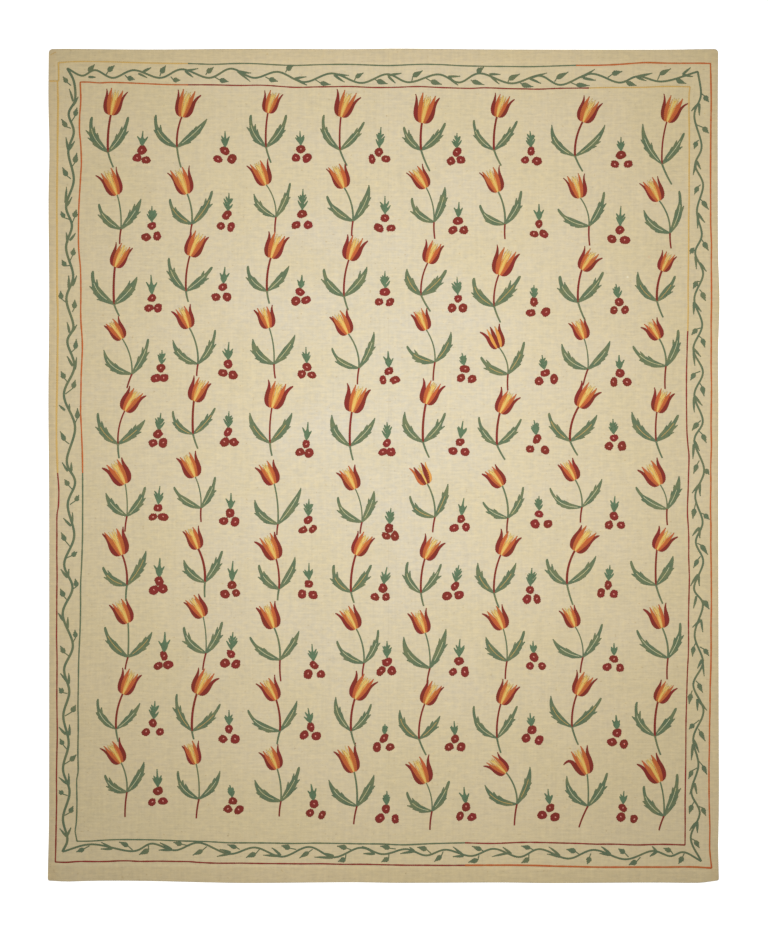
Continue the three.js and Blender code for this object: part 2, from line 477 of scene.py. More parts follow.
# Painted shade along each crease's trough.
for crease_x, half, change in CREASE_PAINTED_SHADE:
    away = calculate(tree, "ABSOLUTE", calculate(tree, "SUBTRACT", sides.outputs[0], crease_x * MM), 0.0)
    crease_shade = reshape(tree, away, 0.0, half * MM, change, 0.0, smooth=True)
    tone = calculate(tree, "ADD", tone, crease_shade)
for mark in MARKS:
    mark_x, mark_y = on_cloth(*mark["px"]) * MM
    away = add_node(tree, "ShaderNodeVectorMath", {0: place, 1: (mark_x, mark_y, CLOTH_THICKNESS * MM)},
                    operation="DISTANCE").outputs["Value"]
    share = reshape(tree, away, 0.0, mark["radius"] * MM, mark["strength"], 0.0, smooth=True)
    straw = blend_colours(tree, share, straw, linear(mark["tint"]))

toned = add_node(tree, "ShaderNodeVectorMath", {0: straw, "Scale": tone}, operation="SCALE").outputs[0]
tree.links.new(toned, shader.inputs["Base Color"])
slub_relief = calculate(tree, "MULTIPLY", slub, 0.6)
thread_relief = calculate(tree, "MULTIPLY", thread, 0.4)
relief = calculate(tree, "ADD", slub_relief, thread_relief)
bump = add_node(tree, "ShaderNodeBump", {"Height": relief, "Strength": 0.5, "Distance": 0.0012})
tree.links.new(bump.outputs[0], shader.inputs["Normal"])
cloth_mesh.materials.append(cotton)
print(len(MARKS), "marks and", len(CREASE_PAINTED_SHADE), "rubbed creases in the cotton")

# %% [markdown]
# ## Chain stitch
# All the needlework is chain stitch in wool. Each stitch is a small loop lying in the one before it, narrow
# at its tail and full at its head, with a dip down the middle where the two strands part. A row of such loops
# makes a line, and rows side by side fill a petal or leaf. There are tens of thousands, so one loop is
# modelled with few faces and Geometry Nodes set it along every row.

# %% One loop of chain stitch, 1 long, 1 wide and 1 high
LOOP_POINTS = [
    (-0.08, 0.0, 0.3), (0.3, 0.0, 0.85),
    (0.68, 0.52, 0.0), (0.70, 0.27, 1.0), (0.68, 0.0, 0.66), (0.70, -0.27, 1.0), (0.68, -0.52, 0.0),
    (1.16, 0.0, 0.25),
]
LOOP_FACES = [
    (0, 1, 2), (0, 6, 1), (1, 3, 2), (1, 4, 3), (1, 5, 4), (1, 6, 5),
    (2, 3, 7), (3, 4, 7), (4, 5, 7), (5, 6, 7),
    (0, 2, 6), (2, 7, 6),
]

loop_mesh = bpy.data.meshes.new("chain_loop")
loop_mesh.from_pydata(LOOP_POINTS, [], LOOP_FACES)
face_outwards(loop_mesh)
loop_mesh.polygons.foreach_set("use_smooth", [True] * len(loop_mesh.polygons))
chain_loop = link_new("chain_loop", loop_mesh)
print("one stitch is a closed shell of", len(loop_mesh.polygons), "triangles")

# %% [markdown]
# The tree takes the rows of a yarn as curves and the filling under them as a mesh. It divides each row into
# stitches of even length, sets a loop on every point but the last, turned along the row, and varies its size
# a little. Each stitch keeps a random tone, and the filling a deeper one, a painted shade where it shows in
# the gaps between the loops. The wool's material reads both. Realized instances export well.

# %% The Geometry Nodes tree that sews
STITCH_LENGTH = 6.8
STITCH_WIDTH = 5.1
STITCH_HEIGHT = 1.3
TONE_OF_STITCHES = (0.4, 0.9)
# Painted shade: the filling's deeper tone, where it shows between the loops.
FILLING_GAP_SHADE = 0.5
TONE_SEED = 7

sewing = bpy.data.node_groups.new("chain_stitch_rows", "GeometryNodeTree")
SEWING_INPUTS = [
    ("Filling", "NodeSocketGeometry"), ("Stitch", "NodeSocketObject"), ("Rows", "NodeSocketObject"),
    ("Stitch Length", "NodeSocketFloat"), ("Stitch Width", "NodeSocketFloat"),
    ("Stitch Height", "NodeSocketFloat"), ("Unevenness", "NodeSocketFloat"), ("Seed", "NodeSocketInt"),
    ("Wool", "NodeSocketMaterial"),
]
for socket_name, socket_type in SEWING_INPUTS:
    sewing.interface.new_socket(socket_name, in_out="INPUT", socket_type=socket_type)
sewing.interface.new_socket("Sewn", in_out="OUTPUT", socket_type="NodeSocketGeometry")
given = add_node(sewing, "NodeGroupInput").outputs
stitch = add_node(sewing, "GeometryNodeObjectInfo", {"Object": given["Stitch"]})
row_curves = add_node(sewing, "GeometryNodeObjectInfo", {"Object": given["Rows"]})
divided = add_node(sewing, "GeometryNodeResampleCurve",
                   {"Curve": row_curves.outputs["Geometry"], "Length": given["Stitch Length"]}, mode="LENGTH")
row_end = add_node(sewing, "GeometryNodeCurveEndpointSelection", {"Start Size": 0, "End Size": 1})
not_end = add_node(sewing, "FunctionNodeBooleanMath", {0: row_end.outputs[0]}, operation="NOT")
row_size = add_node(sewing, "GeometryNodeSplineLength")
gaps = calculate(sewing, "SUBTRACT", row_size.outputs["Point Count"], 1.0)
pace = calculate(sewing, "DIVIDE", row_size.outputs["Length"], gaps)
fullness = add_node(sewing, "GeometryNodeInputRadius")
least = calculate(sewing, "SUBTRACT", 1.0, given["Unevenness"])
most = calculate(sewing, "ADD", 1.0, given["Unevenness"])
vary = {2: least, 3: most, "Seed": given["Seed"]}
spread = add_node(sewing, "FunctionNodeRandomValue", vary, data_type="FLOAT")
width = calculate(sewing, "MULTIPLY", given["Stitch Width"], fullness.outputs[0])
width = calculate(sewing, "MULTIPLY", width, spread.outputs[1])
size = add_node(sewing, "ShaderNodeCombineXYZ", {0: pace, 1: width, 2: given["Stitch Height"]})
heading = add_node(sewing, "GeometryNodeInputTangent")
turned = add_node(sewing, "FunctionNodeAlignRotationToVector", {"Vector": heading.outputs[0]},
                  axis="X", pivot_axis="Z")
stitches = add_node(sewing, "GeometryNodeInstanceOnPoints",
                    {"Points": divided.outputs[0], "Selection": not_end.outputs[0],
                     "Instance": stitch.outputs["Geometry"], "Rotation": turned.outputs[0],
                     "Scale": size.outputs[0]})
stitch_shade = add_node(sewing, "FunctionNodeRandomValue",
                        {2: TONE_OF_STITCHES[0], 3: TONE_OF_STITCHES[1], "Seed": TONE_SEED},
                        data_type="FLOAT")
shaded = add_node(sewing, "GeometryNodeStoreNamedAttribute",
                  {"Geometry": stitches.outputs[0], "Name": "stitch_tone", "Value": stitch_shade.outputs[1]},
                  data_type="FLOAT", domain="INSTANCE")
# The filling gets a deeper tone than most stitches: a painted shade where it shows between the loops.
filling_gap_shade = add_node(sewing, "GeometryNodeStoreNamedAttribute",
                         {"Geometry": given["Filling"], "Name": "stitch_tone", "Value": FILLING_GAP_SHADE},
                         data_type="FLOAT", domain="POINT")
realized = add_node(sewing, "GeometryNodeRealizeInstances", {"Geometry": shaded.outputs[0]})
joined = add_node(sewing, "GeometryNodeJoinGeometry")
sewing.links.new(realized.outputs[0], joined.inputs[0])
sewing.links.new(filling_gap_shade.outputs[0], joined.inputs[0])
in_wool = add_node(sewing, "GeometryNodeSetMaterial",
                   {"Geometry": joined.outputs[0], "Material": given["Wool"]})
add_node(sewing, "NodeGroupOutput", {"Sewn": in_wool.outputs[0]})
print("the sewing tree has", len(sewing.nodes), "nodes")

# %% [markdown]
# ## Rows and fillings
# A maker fills a shape by sewing along its margins first and then between them. Here a shape is a centre line
# with a half width to each side of it. It gives two things to its yarn's work: a low pad of filling with the
# shape's true outline, and the rows of stitches that cover it. Work in one yarn and kind is gathered into one
# piece, and each further layer of petals is lifted a hair so that no two faces lie in one plane.

# %% Gathering rows and fillings
ROW_PITCH = 4.7
PAD_HEIGHT = 0.8
PAD_SUNK = 0.25
STITCH_SUNK = 0.72
CHAMFER = 0.9
CHAMFER_SHARE = 0.35
SHORTEST_ROW = 2.0
NARROW_SHAPE = 1.5 * ROW_PITCH
TOP_LIFT = 0.75
LEAST_FULLNESS = 0.3

work = {}


def work_of(piece):
    """The gathered rows and filling of one piece of needlework."""
    return work.setdefault(piece, {"rows": [], "points": [], "faces": []})


def normals_of(path):
    """Unit vectors to the left of a path, at each of its points."""
    way = np.gradient(path, axis=0)
    way = way / np.maximum(np.hypot(*way.T), 1e-9)[:, None]
    return np.stack([-way[:, 1], way[:, 0]], axis=1)


def sew_row(piece, path, fullness=1.0, lift=0.0, base=None):
    """One row of stitches along a path, with the stitches' width as a share of the usual one."""
    path = np.asarray(path, float)
    if len(path) < 2 or np.hypot(*np.diff(path, axis=0).T).sum() < SHORTEST_ROW:
        return
    floor_height = cloth_height(path[:, 0], path[:, 1]) if base is None else base
    height = np.zeros(len(path)) + floor_height + lift + PAD_HEIGHT - STITCH_SUNK
    share = np.zeros(len(path)) + fullness
    work_of(piece)["rows"].append(np.column_stack([path, height, share]))


def sew_shape(piece, path, left, right, lift=0.0, rows=True, base=None):
    """A filled shape: its pad, and rows along its margins and between them."""
    path = np.asarray(path, float)
    side = normals_of(path)
    left = np.zeros(len(path)) + left
    right = np.zeros(len(path)) + right
    floor_height = cloth_height(path[:, 0], path[:, 1]) if base is None else base
    ground = np.zeros(len(path)) + floor_height
    chamfer = np.minimum(CHAMFER, CHAMFER_SHARE * (left + right))
    edges = [path + side * left[:, None], path + side * (left - chamfer)[:, None],
             path - side * (right - chamfer)[:, None], path - side * right[:, None]]
    foot = np.minimum(ground, cloth_height(path[:, 0], path[:, 1])) - PAD_SUNK
    heights = [foot, ground + lift + PAD_HEIGHT, ground + lift + PAD_HEIGHT, foot]
    patch = work_of(piece)
    start = len(patch["points"])
    for i in range(len(path)):
        patch["points"] += [(*edge[i], height[i]) for edge, height in zip(edges, heights)]
    for i in range(len(path) - 1):
        a = start + 4 * i
        b = a + 4
        patch["faces"] += [(a + k, a + (k + 1) % 4, b + (k + 1) % 4, b + k) for k in range(4)]
    patch["faces"].append((start + 3, start + 2, start + 1, start))
    end = start + 4 * (len(path) - 1)
    patch["faces"].append((end, end + 1, end + 2, end + 3))
    if rows:
        sew_rows_across(piece, path, side, left, right, lift, base)


def sew_rows_across(piece, path, side, left, right, lift, base):
    """Rows that cover a shape: one at each margin, and more between them where there is room."""
    half = ROW_PITCH / 2
    total = left + right
    middle = (left - right) / 2
    narrow = total < NARROW_SHAPE
    fullness = np.clip(total / STITCH_WIDTH, LEAST_FULLNESS, 1.0)
    right_at = np.where(narrow, middle, -(right - half))
    sew_row(piece, path + side * right_at[:, None], fullness, lift, base)
    sew_run(piece, path, side, left - half, ~narrow, lift, base)
    gap = total - 2 * ROW_PITCH
    count = int(np.floor(gap.max() / ROW_PITCH + 0.5))
    for k in range(count):
        share = (k + 1) / (count + 1)
        at = (left - half) * (1 - share) - (right - half) * share
        sew_run(piece, path, side, at, gap > (0.55 + 0.75 * k) * ROW_PITCH, lift, base)


def sew_run(piece, path, side, at, wanted, lift, base):
    """Rows along those stretches of a path where they are wanted."""
    run = []
    for i in range(len(path) + 1):
        if i < len(path) and wanted[i]:
            run.append(i)
            continue
        if len(run) > 1:
            sew_row(piece, path[run] + side[run] * at[run][:, None], 1.0, lift, base)
        run = []


print("a row is", ROW_PITCH, "mm wide and a pad", PAD_HEIGHT, "mm high")

# %% Paths and outlines


def bezier(points, count):
    """A smooth curve of 2, 3 or 4 control points, as a given number of points."""
    points = np.asarray(points, float)
    t = np.linspace(0, 1, count)[:, None]
    while len(points) > 1:
        points = [a * (1 - t) + b * t for a, b in zip(points[:-1], points[1:])]
    return points[0]


def spline(points, steps):
    """A smooth path through all the points, with the same number of steps from each to the next."""
    points = np.asarray(points, float)
    ends = np.vstack([2 * points[0] - points[1], points, 2 * points[-1] - points[-2]])
    path = []
    for a, b, c, d in zip(ends[:-3], ends[1:-2], ends[2:-1], ends[3:]):
        for t in np.arange(steps) / steps:
            path.append(0.5 * (2 * b + (c - a) * t + (2 * a - 5 * b + 4 * c - d) * t ** 2
                               + (3 * b - 3 * c + d - a) * t ** 3))
    path.append(points[-1])
    return np.array(path)


def profile(table, count):
    """A width table of (place, width) pairs, read at even places."""
    places, widths = zip(*table)
    return np.interp(np.linspace(0, 1, count), places, widths)


def unit(vector):
    """A vector of length one."""
    return np.asarray(vector, float) / max(float(np.hypot(*vector)), 1e-9)


def turn(vector, degrees):
    """A vector turned to the left."""
    angle = math.radians(degrees)
    x, y = vector
    return np.array([x * math.cos(angle) - y * math.sin(angle), x * math.sin(angle) + y * math.cos(angle)])


print("curve, spline and width helpers are ready")

# %% [markdown]
# ## The double frame of lines
# Two thin lines of single chain rows run round the rug, one near the hem and one inside the vine. Each
# changes colour on the way: gold, dark green, rust and dark red outside, and rust, dark red, yellow and green
# inside. They are a little unsteady and uneven, as hand-guided rows are, so each gets a small wander of its
# own. The stretches were read from enlarged crops, and each has its own share of the usual width.

# %% Lines of the frame
LINE_HALF = {"gold_lines": 3.2, "green_lines": 2.75, "rust_lines": 3.0, "dark_red_lines": 2.9,
             "pale_yellow_lines": 2.8}
LINE_WANDER = 0.7
LINE_SHARE = {"gold_lines": [0.8, 1.2, 1.0, 1.0, 0.45], "rust_lines": [1.0, 1.0, 1.14, 1.02, 0.9],
              "dark_red_lines": [1.0, 0.96, 0.9, 0.93, 1.0], "green_lines": [0.94, 1.04, 1.06],
              "pale_yellow_lines": [0.9, 1.06]}
HEM_CLIMB = [(0, CLOTH_THICKNESS), *reversed(HEM_STEP)]
LINES = {
    "gold_lines": [
        [(58.5, 62.6), (75, 61.9), (110, 62.1), (145, 62.7), (188, 63.5)],
        [(57.6, 473), (57.1, 458), (56.5, 440), (56.7, 400), (57.3, 370), (57.8, 330), (57.3, 290),
         (56.9, 220), (57.1, 180), (57.6, 130), (57.4, 81.6)],
        [(49.5, 81.2), (58.6, 81.0)],
        [(58.7, 81.0), (58.5, 62.6)],
        [(50.5, 55), (56, 52)],
    ],
    "green_lines": [
        [(188, 63.5), (215, 64.3), (248, 63.6), (290, 65.2), (345, 64.3), (385, 65.5), (410, 64.7),
         (440, 64.9), (465, 66.1), (500, 66.3), (530, 66.6), (555, 65.9), (576, 65.3)],
        [(465, 842.8), (440, 843.2), (405, 844.9), (380, 844.1), (340, 843.4), (300, 843.2), (240, 842.7),
         (210, 841.7), (180, 840.9), (150, 839.8), (115, 839.5), (90, 841), (77, 841.2)],
        [(77, 841.2), (75.8, 835), (75.2, 830.5), (76.4, 822), (77, 805), (76.8, 790), (76.8, 779),
         (78.2, 771), (77.9, 750), (78.2, 720), (78, 705), (78.6, 675), (79.2, 650), (80.3, 625),
         (80.6, 590), (81.7, 562), (82.6, 520), (82.6, 473)],
    ],
    "rust_lines": [
        [(576, 65.3), (600, 65.2), (620, 64.5), (645, 62.9), (670, 63.1), (700, 63.1), (710.5, 63.5)],
        [(710.5, 63.5), (711, 100), (710.7, 200), (711.3, 270), (711.2, 370), (710.8, 430), (710.9, 520),
         (711, 640), (710.2, 700), (709.5, 735), (709.1, 775), (709.1, 805), (709.8, 828), (710.1, 850),
         (711.6, 868)],
        [(711.6, 868), (690, 867), (650, 867), (590, 867.1), (545, 865.8), (500, 865.5), (465, 865.3)],
        [(82.6, 473), (82.4, 452), (81.3, 432), (80.8, 405), (81, 380), (82.2, 345), (80.8, 318),
         (80.9, 290), (80.3, 268), (78.9, 250), (78.7, 228), (79.6, 200), (80.6, 178), (81.3, 162),
         (81, 145), (79.5, 130), (79.7, 115), (80.7, 100), (80.2, 82)],
        [(80.2, 82), (90, 82.2), (100, 83), (112, 82.5), (140, 83.5), (170, 84.6), (188, 84.8)],
    ],
    "dark_red_lines": [
        [(465, 865.3), (425, 865.3), (370, 864.4), (310, 864), (280, 863.6), (225, 863.3), (200, 862.4),
         (185, 861.3), (145, 861.2), (126, 860.6), (105, 861.3), (80, 861.2), (67, 862.2), (55.3, 862)],
        [(55.3, 862), (55.8, 850), (56.2, 830), (56.6, 800), (56.9, 760), (57.4, 735), (56.9, 700),
         (57, 665), (56.7, 620), (56.9, 540), (57.1, 516), (58.4, 506), (58.6, 488), (57.6, 473)],
        [(188, 84.8), (215, 85), (240, 85.5), (262, 85.2), (300, 87.1), (345, 86.4), (378, 87.7),
         (415, 86.8), (445, 87.8), (470, 88.5), (487, 87.9), (520, 89.1), (540, 89.6), (562, 88.5),
         (589, 88)],
        [(687.8, 331), (687.2, 345), (686.5, 385), (686.7, 425), (687.7, 445), (688.7, 458), (688.3, 485),
         (687.6, 510), (688.8, 545), (688.6, 640), (687.5, 670), (686.6, 705), (685.8, 745), (685.3, 800),
         (685, 845)],
        [(685, 845), (660, 844.5), (632, 845), (605, 844), (570, 843.5), (520, 842.7), (492, 843.5),
         (465, 842.8)],
    ],
    "pale_yellow_lines": [
        [(589, 88), (612, 87.3), (642, 87.4), (665, 86.3), (690, 86.8)],
        [(690, 86.8), (689, 100), (689.3, 150), (688.7, 240), (688.3, 300), (687.8, 331)],
    ],
}


def face_under(path):
    """Height of the face under a line. At the head and the left the line climbs onto the hem's sewn edge."""
    left_edge = np.interp(path[:, 1], [HEM_CORNERS[3][1], HEM_CORNERS[0][1]],
                          [HEM_CORNERS[3][0], HEM_CORNERS[0][0]])
    over = np.maximum(left_edge - path[:, 0], path[:, 1] - HEM_CORNERS[0][1]) + 2
    before, height = zip(*HEM_CLIMB)
    return np.maximum(cloth_height(path[:, 0], path[:, 1]), np.interp(over, before, height))


def wandering(path, amount):
    """A path pushed a little to its left and right, smoothly, and left alone at both ends."""
    sideways = np.zeros(len(path))
    if len(path) > 8:
        knots = np.linspace(0, len(path) - 1, max(4, len(path) // 6))
        pushes = needle.normal(0, amount, len(knots))
        pushes[0] = pushes[-1] = 0
        sideways = np.interp(np.arange(len(path)), knots, pushes)
    return path + normals_of(path) * sideways[:, None]


def paced(path, step):
    """The same path with a point at even steps."""
    reach = np.hypot(*np.diff(path, axis=0).T).sum()
    return along(path, np.linspace(0, 1, max(2, int(round(reach / step)) + 1)))


for piece, lines in LINES.items():
    for line, share in zip(lines, LINE_SHARE[piece]):
        path = spline([on_cloth(*place) for place in line], 12)
        path = wandering(paced(path, 12), LINE_WANDER)
        half = LINE_HALF[piece] * share * (1 + needle.uniform(-0.15, 0.15, len(path)))
        sew_shape(piece, path, half, half, rows=False, base=face_under(path))
        sew_row(piece, path, half * 2 / STITCH_WIDTH, base=face_under(path))
print("frame lines:", sum(len(lines) for lines in LINES.values()), "stretches")

# %% [markdown]
# ## The vine
# Between the two lines a green vine waves round the rug, clockwise, two rows wide. Its turning places were
# read in pixels, because its waves aren't all of one length. A smooth curve goes through them, side by side,
# and the corners stay pointed.

# %% Turning places of the vine, in photograph pixels, and its curve
VINE_CORNERS = [(67.4, 68.3), (697.8, 71.6), (701.2, 861.2), (62.5, 851.7)]
VINE_HEAD = [
    (82, 75.7), (95.5, 70.2), (113, 77.9), (134, 70.2), (160, 77.9), (182, 69.3), (209, 77.9), (231, 68.7),
    (254, 77.9), (278, 71.9), (304, 82.1), (332, 73.4), (361, 83), (387, 74.2), (409, 82.3), (438, 74.4),
    (459, 82.5), (480, 73.4), (511, 83.4), (539, 75.7), (561, 84.9), (591, 73.8), (619, 82.6), (638, 76.4),
    (663, 81.5),
]
VINE_RIGHT = [
    (700.9, 95), (694.3, 116), (701.6, 146), (695.2, 165), (703.1, 185), (696.9, 211), (701.8, 235),
    (695.2, 253), (703.1, 274), (694.3, 299), (702.2, 325), (693.3, 349), (702.9, 372), (694.3, 395),
    (702.8, 421), (694.3, 441), (704.1, 470), (695.2, 496), (702.6, 522), (695.8, 542), (703.2, 562),
    (694, 588), (702.9, 605), (694.6, 635), (702.9, 662), (693.3, 685), (703.5, 711), (693.3, 738),
    (698.4, 765), (691.4, 792), (699.7, 813), (690.7, 838),
]
VINE_FOOT = [
    (684, 852.2), (670, 856.1), (652, 851), (625, 859.3), (594, 849.9), (568, 858.6), (540, 849.1),
    (519, 857), (494, 848.8), (471, 856), (446, 849.7), (426, 855.4), (406, 849.1), (383, 854.2),
    (360, 847.8), (334, 857.3), (309, 846.9), (282, 856.7), (255, 847.5), (229, 853.9), (199, 842.7),
    (175, 850.3), (152, 843.6), (132, 851.2), (92, 844.3),
]
VINE_LEFT = [
    (67.4, 839), (63, 818), (69.6, 792), (63, 769), (68.7, 743), (63.3, 716), (69.3, 692), (64.2, 669),
    (72.9, 645), (62.7, 614), (72.5, 588), (64.2, 564), (74.2, 536), (67.7, 505), (75.1, 482), (66.8, 461),
    (75.1, 427), (63.9, 395), (74.4, 367), (67.4, 342), (73.4, 326), (66.4, 299), (73.2, 276),
    (66.1, 248), (71.9, 226), (66.1, 206), (73.8, 180), (68.3, 152), (73.8, 132), (68.7, 114), (75, 100),
]
VINE_LEADS = {3: [(74, 82)]}
VINE_HALF = [3.8, 3.8, 3.7, 4.6]
VINE_STEPS = 10

vine_sides = []
for i, turns in enumerate((VINE_HEAD, VINE_RIGHT, VINE_FOOT, VINE_LEFT)):
    stops = [VINE_CORNERS[i], *turns, *VINE_LEADS.get(i, []), VINE_CORNERS[(i + 1) % 4]]
    vine_sides.append(spline([on_cloth(*stop) for stop in stops], VINE_STEPS))
for path, half in zip(vine_sides, VINE_HALF):
    sew_shape("vine", path, half, half)
print("vine of", sum(len(path) for path in vine_sides), "points")

# %% [markdown]
# Each wave of the vine carries a fork of two slender leaves and a plump leaf on a short stalk to either side.
# They point the way the vine grows. No two waves have them in quite the same places, so their ends were read
# in photograph pixels, and a leaf's shape comes from its width table.

# %% Chart of the plump leaves: foot of the stalk on the vine, neck of the leaf, tip
PLUMP_HEAD = [
    (88.2, 74, 88.8, 71.5, 94.8, 64.5), (106.2, 74.8, 108.2, 71.2, 114.6, 65.6),
    (125, 75, 127.5, 77.9, 134.8, 79.5), (159.8, 76.3, 161, 73, 165.8, 65.6),
    (170.8, 76.6, 173.2, 79.8, 180.4, 80.2), (205.8, 75, 207, 72.5, 213.8, 67.2),
    (213.8, 76.6, 219.8, 80, 228.6, 81.7), (265.4, 76.9, 269.2, 79, 277.9, 81.5),
    (285.6, 72.4, 286.8, 69.6, 293, 66.2), (315, 79.5, 320.5, 83, 330.8, 84.6),
    (354.3, 81, 355.7, 77.5, 363.5, 73), (373.5, 78.5, 377, 80.8, 387.6, 84),
    (411.8, 81, 413, 76, 422.7, 70.7), (426, 78.3, 431, 81.2, 441.8, 84.6),
    (477.8, 74.5, 477, 72, 484, 67.2), (470.8, 79.8, 472.3, 81.2, 484.3, 85),
    (508, 82, 508.9, 79.5, 520, 74.2), (519.5, 82, 521.8, 84.3, 533.4, 86.9),
    (554.5, 81.8, 556.8, 78.3, 568.4, 72.3), (571, 82.6, 576.3, 85, 589.6, 85.8),
    (607.8, 77.5, 612.3, 74.2, 622.3, 71.6), (624.5, 80.5, 626.8, 82.8, 636.6, 85.7),
    (657.5, 80, 660, 74.4, 671, 68.8), (674, 78.2, 676.6, 80, 686.2, 83.8),
]
PLUMP_RIGHT = [
    (700, 92.5, 704.5, 96, 708.9, 102), (696, 124.5, 703, 127.5, 708.8, 133.3),
    (698.8, 140.3, 696.3, 141.8, 694, 149), (700.6, 184.8, 698, 186.8, 694.4, 194.4),
    (700, 199, 702.5, 201.2, 708.6, 209.6), (701.6, 239.5, 703.6, 242.5, 708.4, 250.6),
    (694.4, 248, 693, 248.3, 690, 254), (700.5, 281.5, 696.8, 281.5, 693, 288.8),
    (699.5, 289.5, 702, 292.5, 705.6, 301), (700.5, 328, 696.8, 329, 691.4, 334.8),
    (698.8, 336, 702.2, 338.8, 704.8, 347.6), (700.3, 371.3, 694.8, 373.3, 690.4, 380.2),
    (699.3, 382.5, 702, 386.5, 704, 396.3), (700.8, 420.5, 698, 423, 691.8, 430.6),
    (699, 431, 702.5, 434.5, 706.3, 443), (699.3, 460.5, 697, 464.6, 693.4, 473.6),
    (703.6, 467.5, 705, 469.5, 709.2, 474.6), (695.8, 502.5, 694.4, 508.8, 692.6, 518.6),
    (701, 513, 704.3, 514.3, 709.6, 519.6), (697.3, 543.3, 701, 545, 707.8, 554.8),
    (700.6, 556.3, 697.8, 559.6, 693.2, 568), (701.5, 600.5, 704.4, 600.8, 709.2, 609.2),
    (695.5, 643.3, 693.8, 646.8, 692.3, 656.6), (699.7, 646.8, 704, 649.2, 708.8, 655.9),
    (695.8, 680.7, 698.6, 683.6, 702.7, 692.6), (692.3, 690.5, 690.9, 694, 689, 704),
    (699.3, 720, 693.8, 724.3, 689, 729.2), (698.3, 728.8, 699.9, 731.3, 705.2, 741.2),
    (697.3, 759.3, 702.8, 765.8, 706.9, 774.6), (697, 768, 692.2, 770.6, 688.4, 778.9),
    (694, 801.8, 692.2, 805, 689.2, 813.7), (698.2, 806.3, 702.6, 807.8, 705.8, 815.7),
    (691.3, 838.6, 695.3, 840.6, 699.3, 848),
]
PLUMP_FOOT = [
    (684.3, 853.3, 682.6, 856.8, 678.4, 863.8), (673, 854.2, 670.8, 850.8, 663.4, 848),
    (640.5, 857, 636.6, 861.6, 628.8, 864.9), (628.5, 857, 624.6, 852.8, 618.4, 848.6),
    (590.8, 853.5, 589.5, 857.2, 587.2, 864), (580.3, 855, 575.5, 851.6, 566.4, 849.4),
    (533.6, 850.2, 530.2, 848, 521.2, 845.8), (528.8, 854, 528.8, 858.4, 521.3, 862.8),
    (484.6, 852, 481.3, 849.6, 472, 846), (479, 855.5, 477.7, 860.2, 468.3, 862.3),
    (443.2, 851.5, 441.3, 855.8, 434.2, 861.6), (431, 853.3, 426.6, 849.4, 417.2, 847.2),
    (395.8, 849, 389.6, 848.2, 380.2, 846), (389, 854.3, 388.6, 858.4, 381.3, 862),
    (351, 849.8, 346.5, 847.9, 337.1, 846), (346, 854.3, 345.4, 858.8, 338, 861.4),
    (312.6, 849.3, 308.6, 852.2, 299.4, 858), (296.2, 849.4, 289.7, 848.2, 281.3, 845.7),
    (259.8, 849, 255.6, 853.8, 246, 857.5), (239.7, 849.4, 236.5, 847.4, 227.4, 844.4),
    (206.8, 846.5, 202.4, 850.3, 192.7, 855), (189.6, 846, 181.8, 844.2, 173.4, 842.2),
    (148.5, 845, 148.6, 849.8, 139, 854.6), (132.6, 850, 128, 845.9, 119.2, 841.8),
    (89.6, 845.8, 84, 848.8, 76.2, 851.8),
]
PLUMP_LEFT = [
    (64.5, 815.5, 70, 812.5, 73.2, 806), (67.5, 795.5, 62.8, 794, 59, 790.6),
    (64, 764.5, 70.2, 760.6, 76.4, 754.6), (67, 749.5, 63, 744.6, 60, 738.6),
    (65, 716, 72, 711.8, 75.8, 705), (67.5, 693.5, 63, 692.6, 59, 687.8),
    (69, 656, 64.5, 652.8, 60.4, 645.8), (73, 642.5, 75.8, 637.2, 75, 629.8),
    (66.5, 599.5, 64, 596.3, 60.4, 588.6), (72.8, 589, 76.6, 586.6, 75.2, 578.6),
    (66.5, 558, 71.8, 555.6, 77.2, 551.8), (70, 546.5, 65.2, 540.6, 61.2, 532.4),
    (70, 504.5, 75.5, 500.8, 79, 495), (72.3, 489.5, 68.6, 485.3, 64.6, 479.3),
    (69.3, 444, 64.8, 440.6, 60.2, 431.2), (74.8, 424, 77.3, 418.3, 77.6, 408.2),
    (65.5, 394, 73.2, 388, 75.5, 379.8), (67.5, 382, 64.4, 378.3, 61, 371.4),
    (70.5, 353, 75.3, 348.6, 76.4, 339), (72.3, 312, 74.4, 308.2, 75, 299.6),
    (65.5, 302, 61.4, 298.8, 60.6, 291), (70, 265.5, 65.4, 266, 61.8, 259.8),
    (70.2, 260.5, 72.6, 255.3, 74, 247.8), (69.5, 219.5, 64, 217.6, 61, 211.5),
    (71.8, 224, 74.6, 217.2, 76.4, 209.6), (70.9, 178.9, 67, 175.8, 62.6, 167.3),
    (72, 166.7, 75, 162.6, 77, 152.8), (70.9, 128.3, 66.5, 126.8, 61.5, 119),
    (71.5, 121.5, 75.2, 115.8, 77.2, 107.6), (71, 85.5, 67.2, 82.4, 63, 76.6),
]
plump_leaves = PLUMP_HEAD + PLUMP_RIGHT + PLUMP_FOOT + PLUMP_LEFT
print("plump leaves charted:", len(plump_leaves))

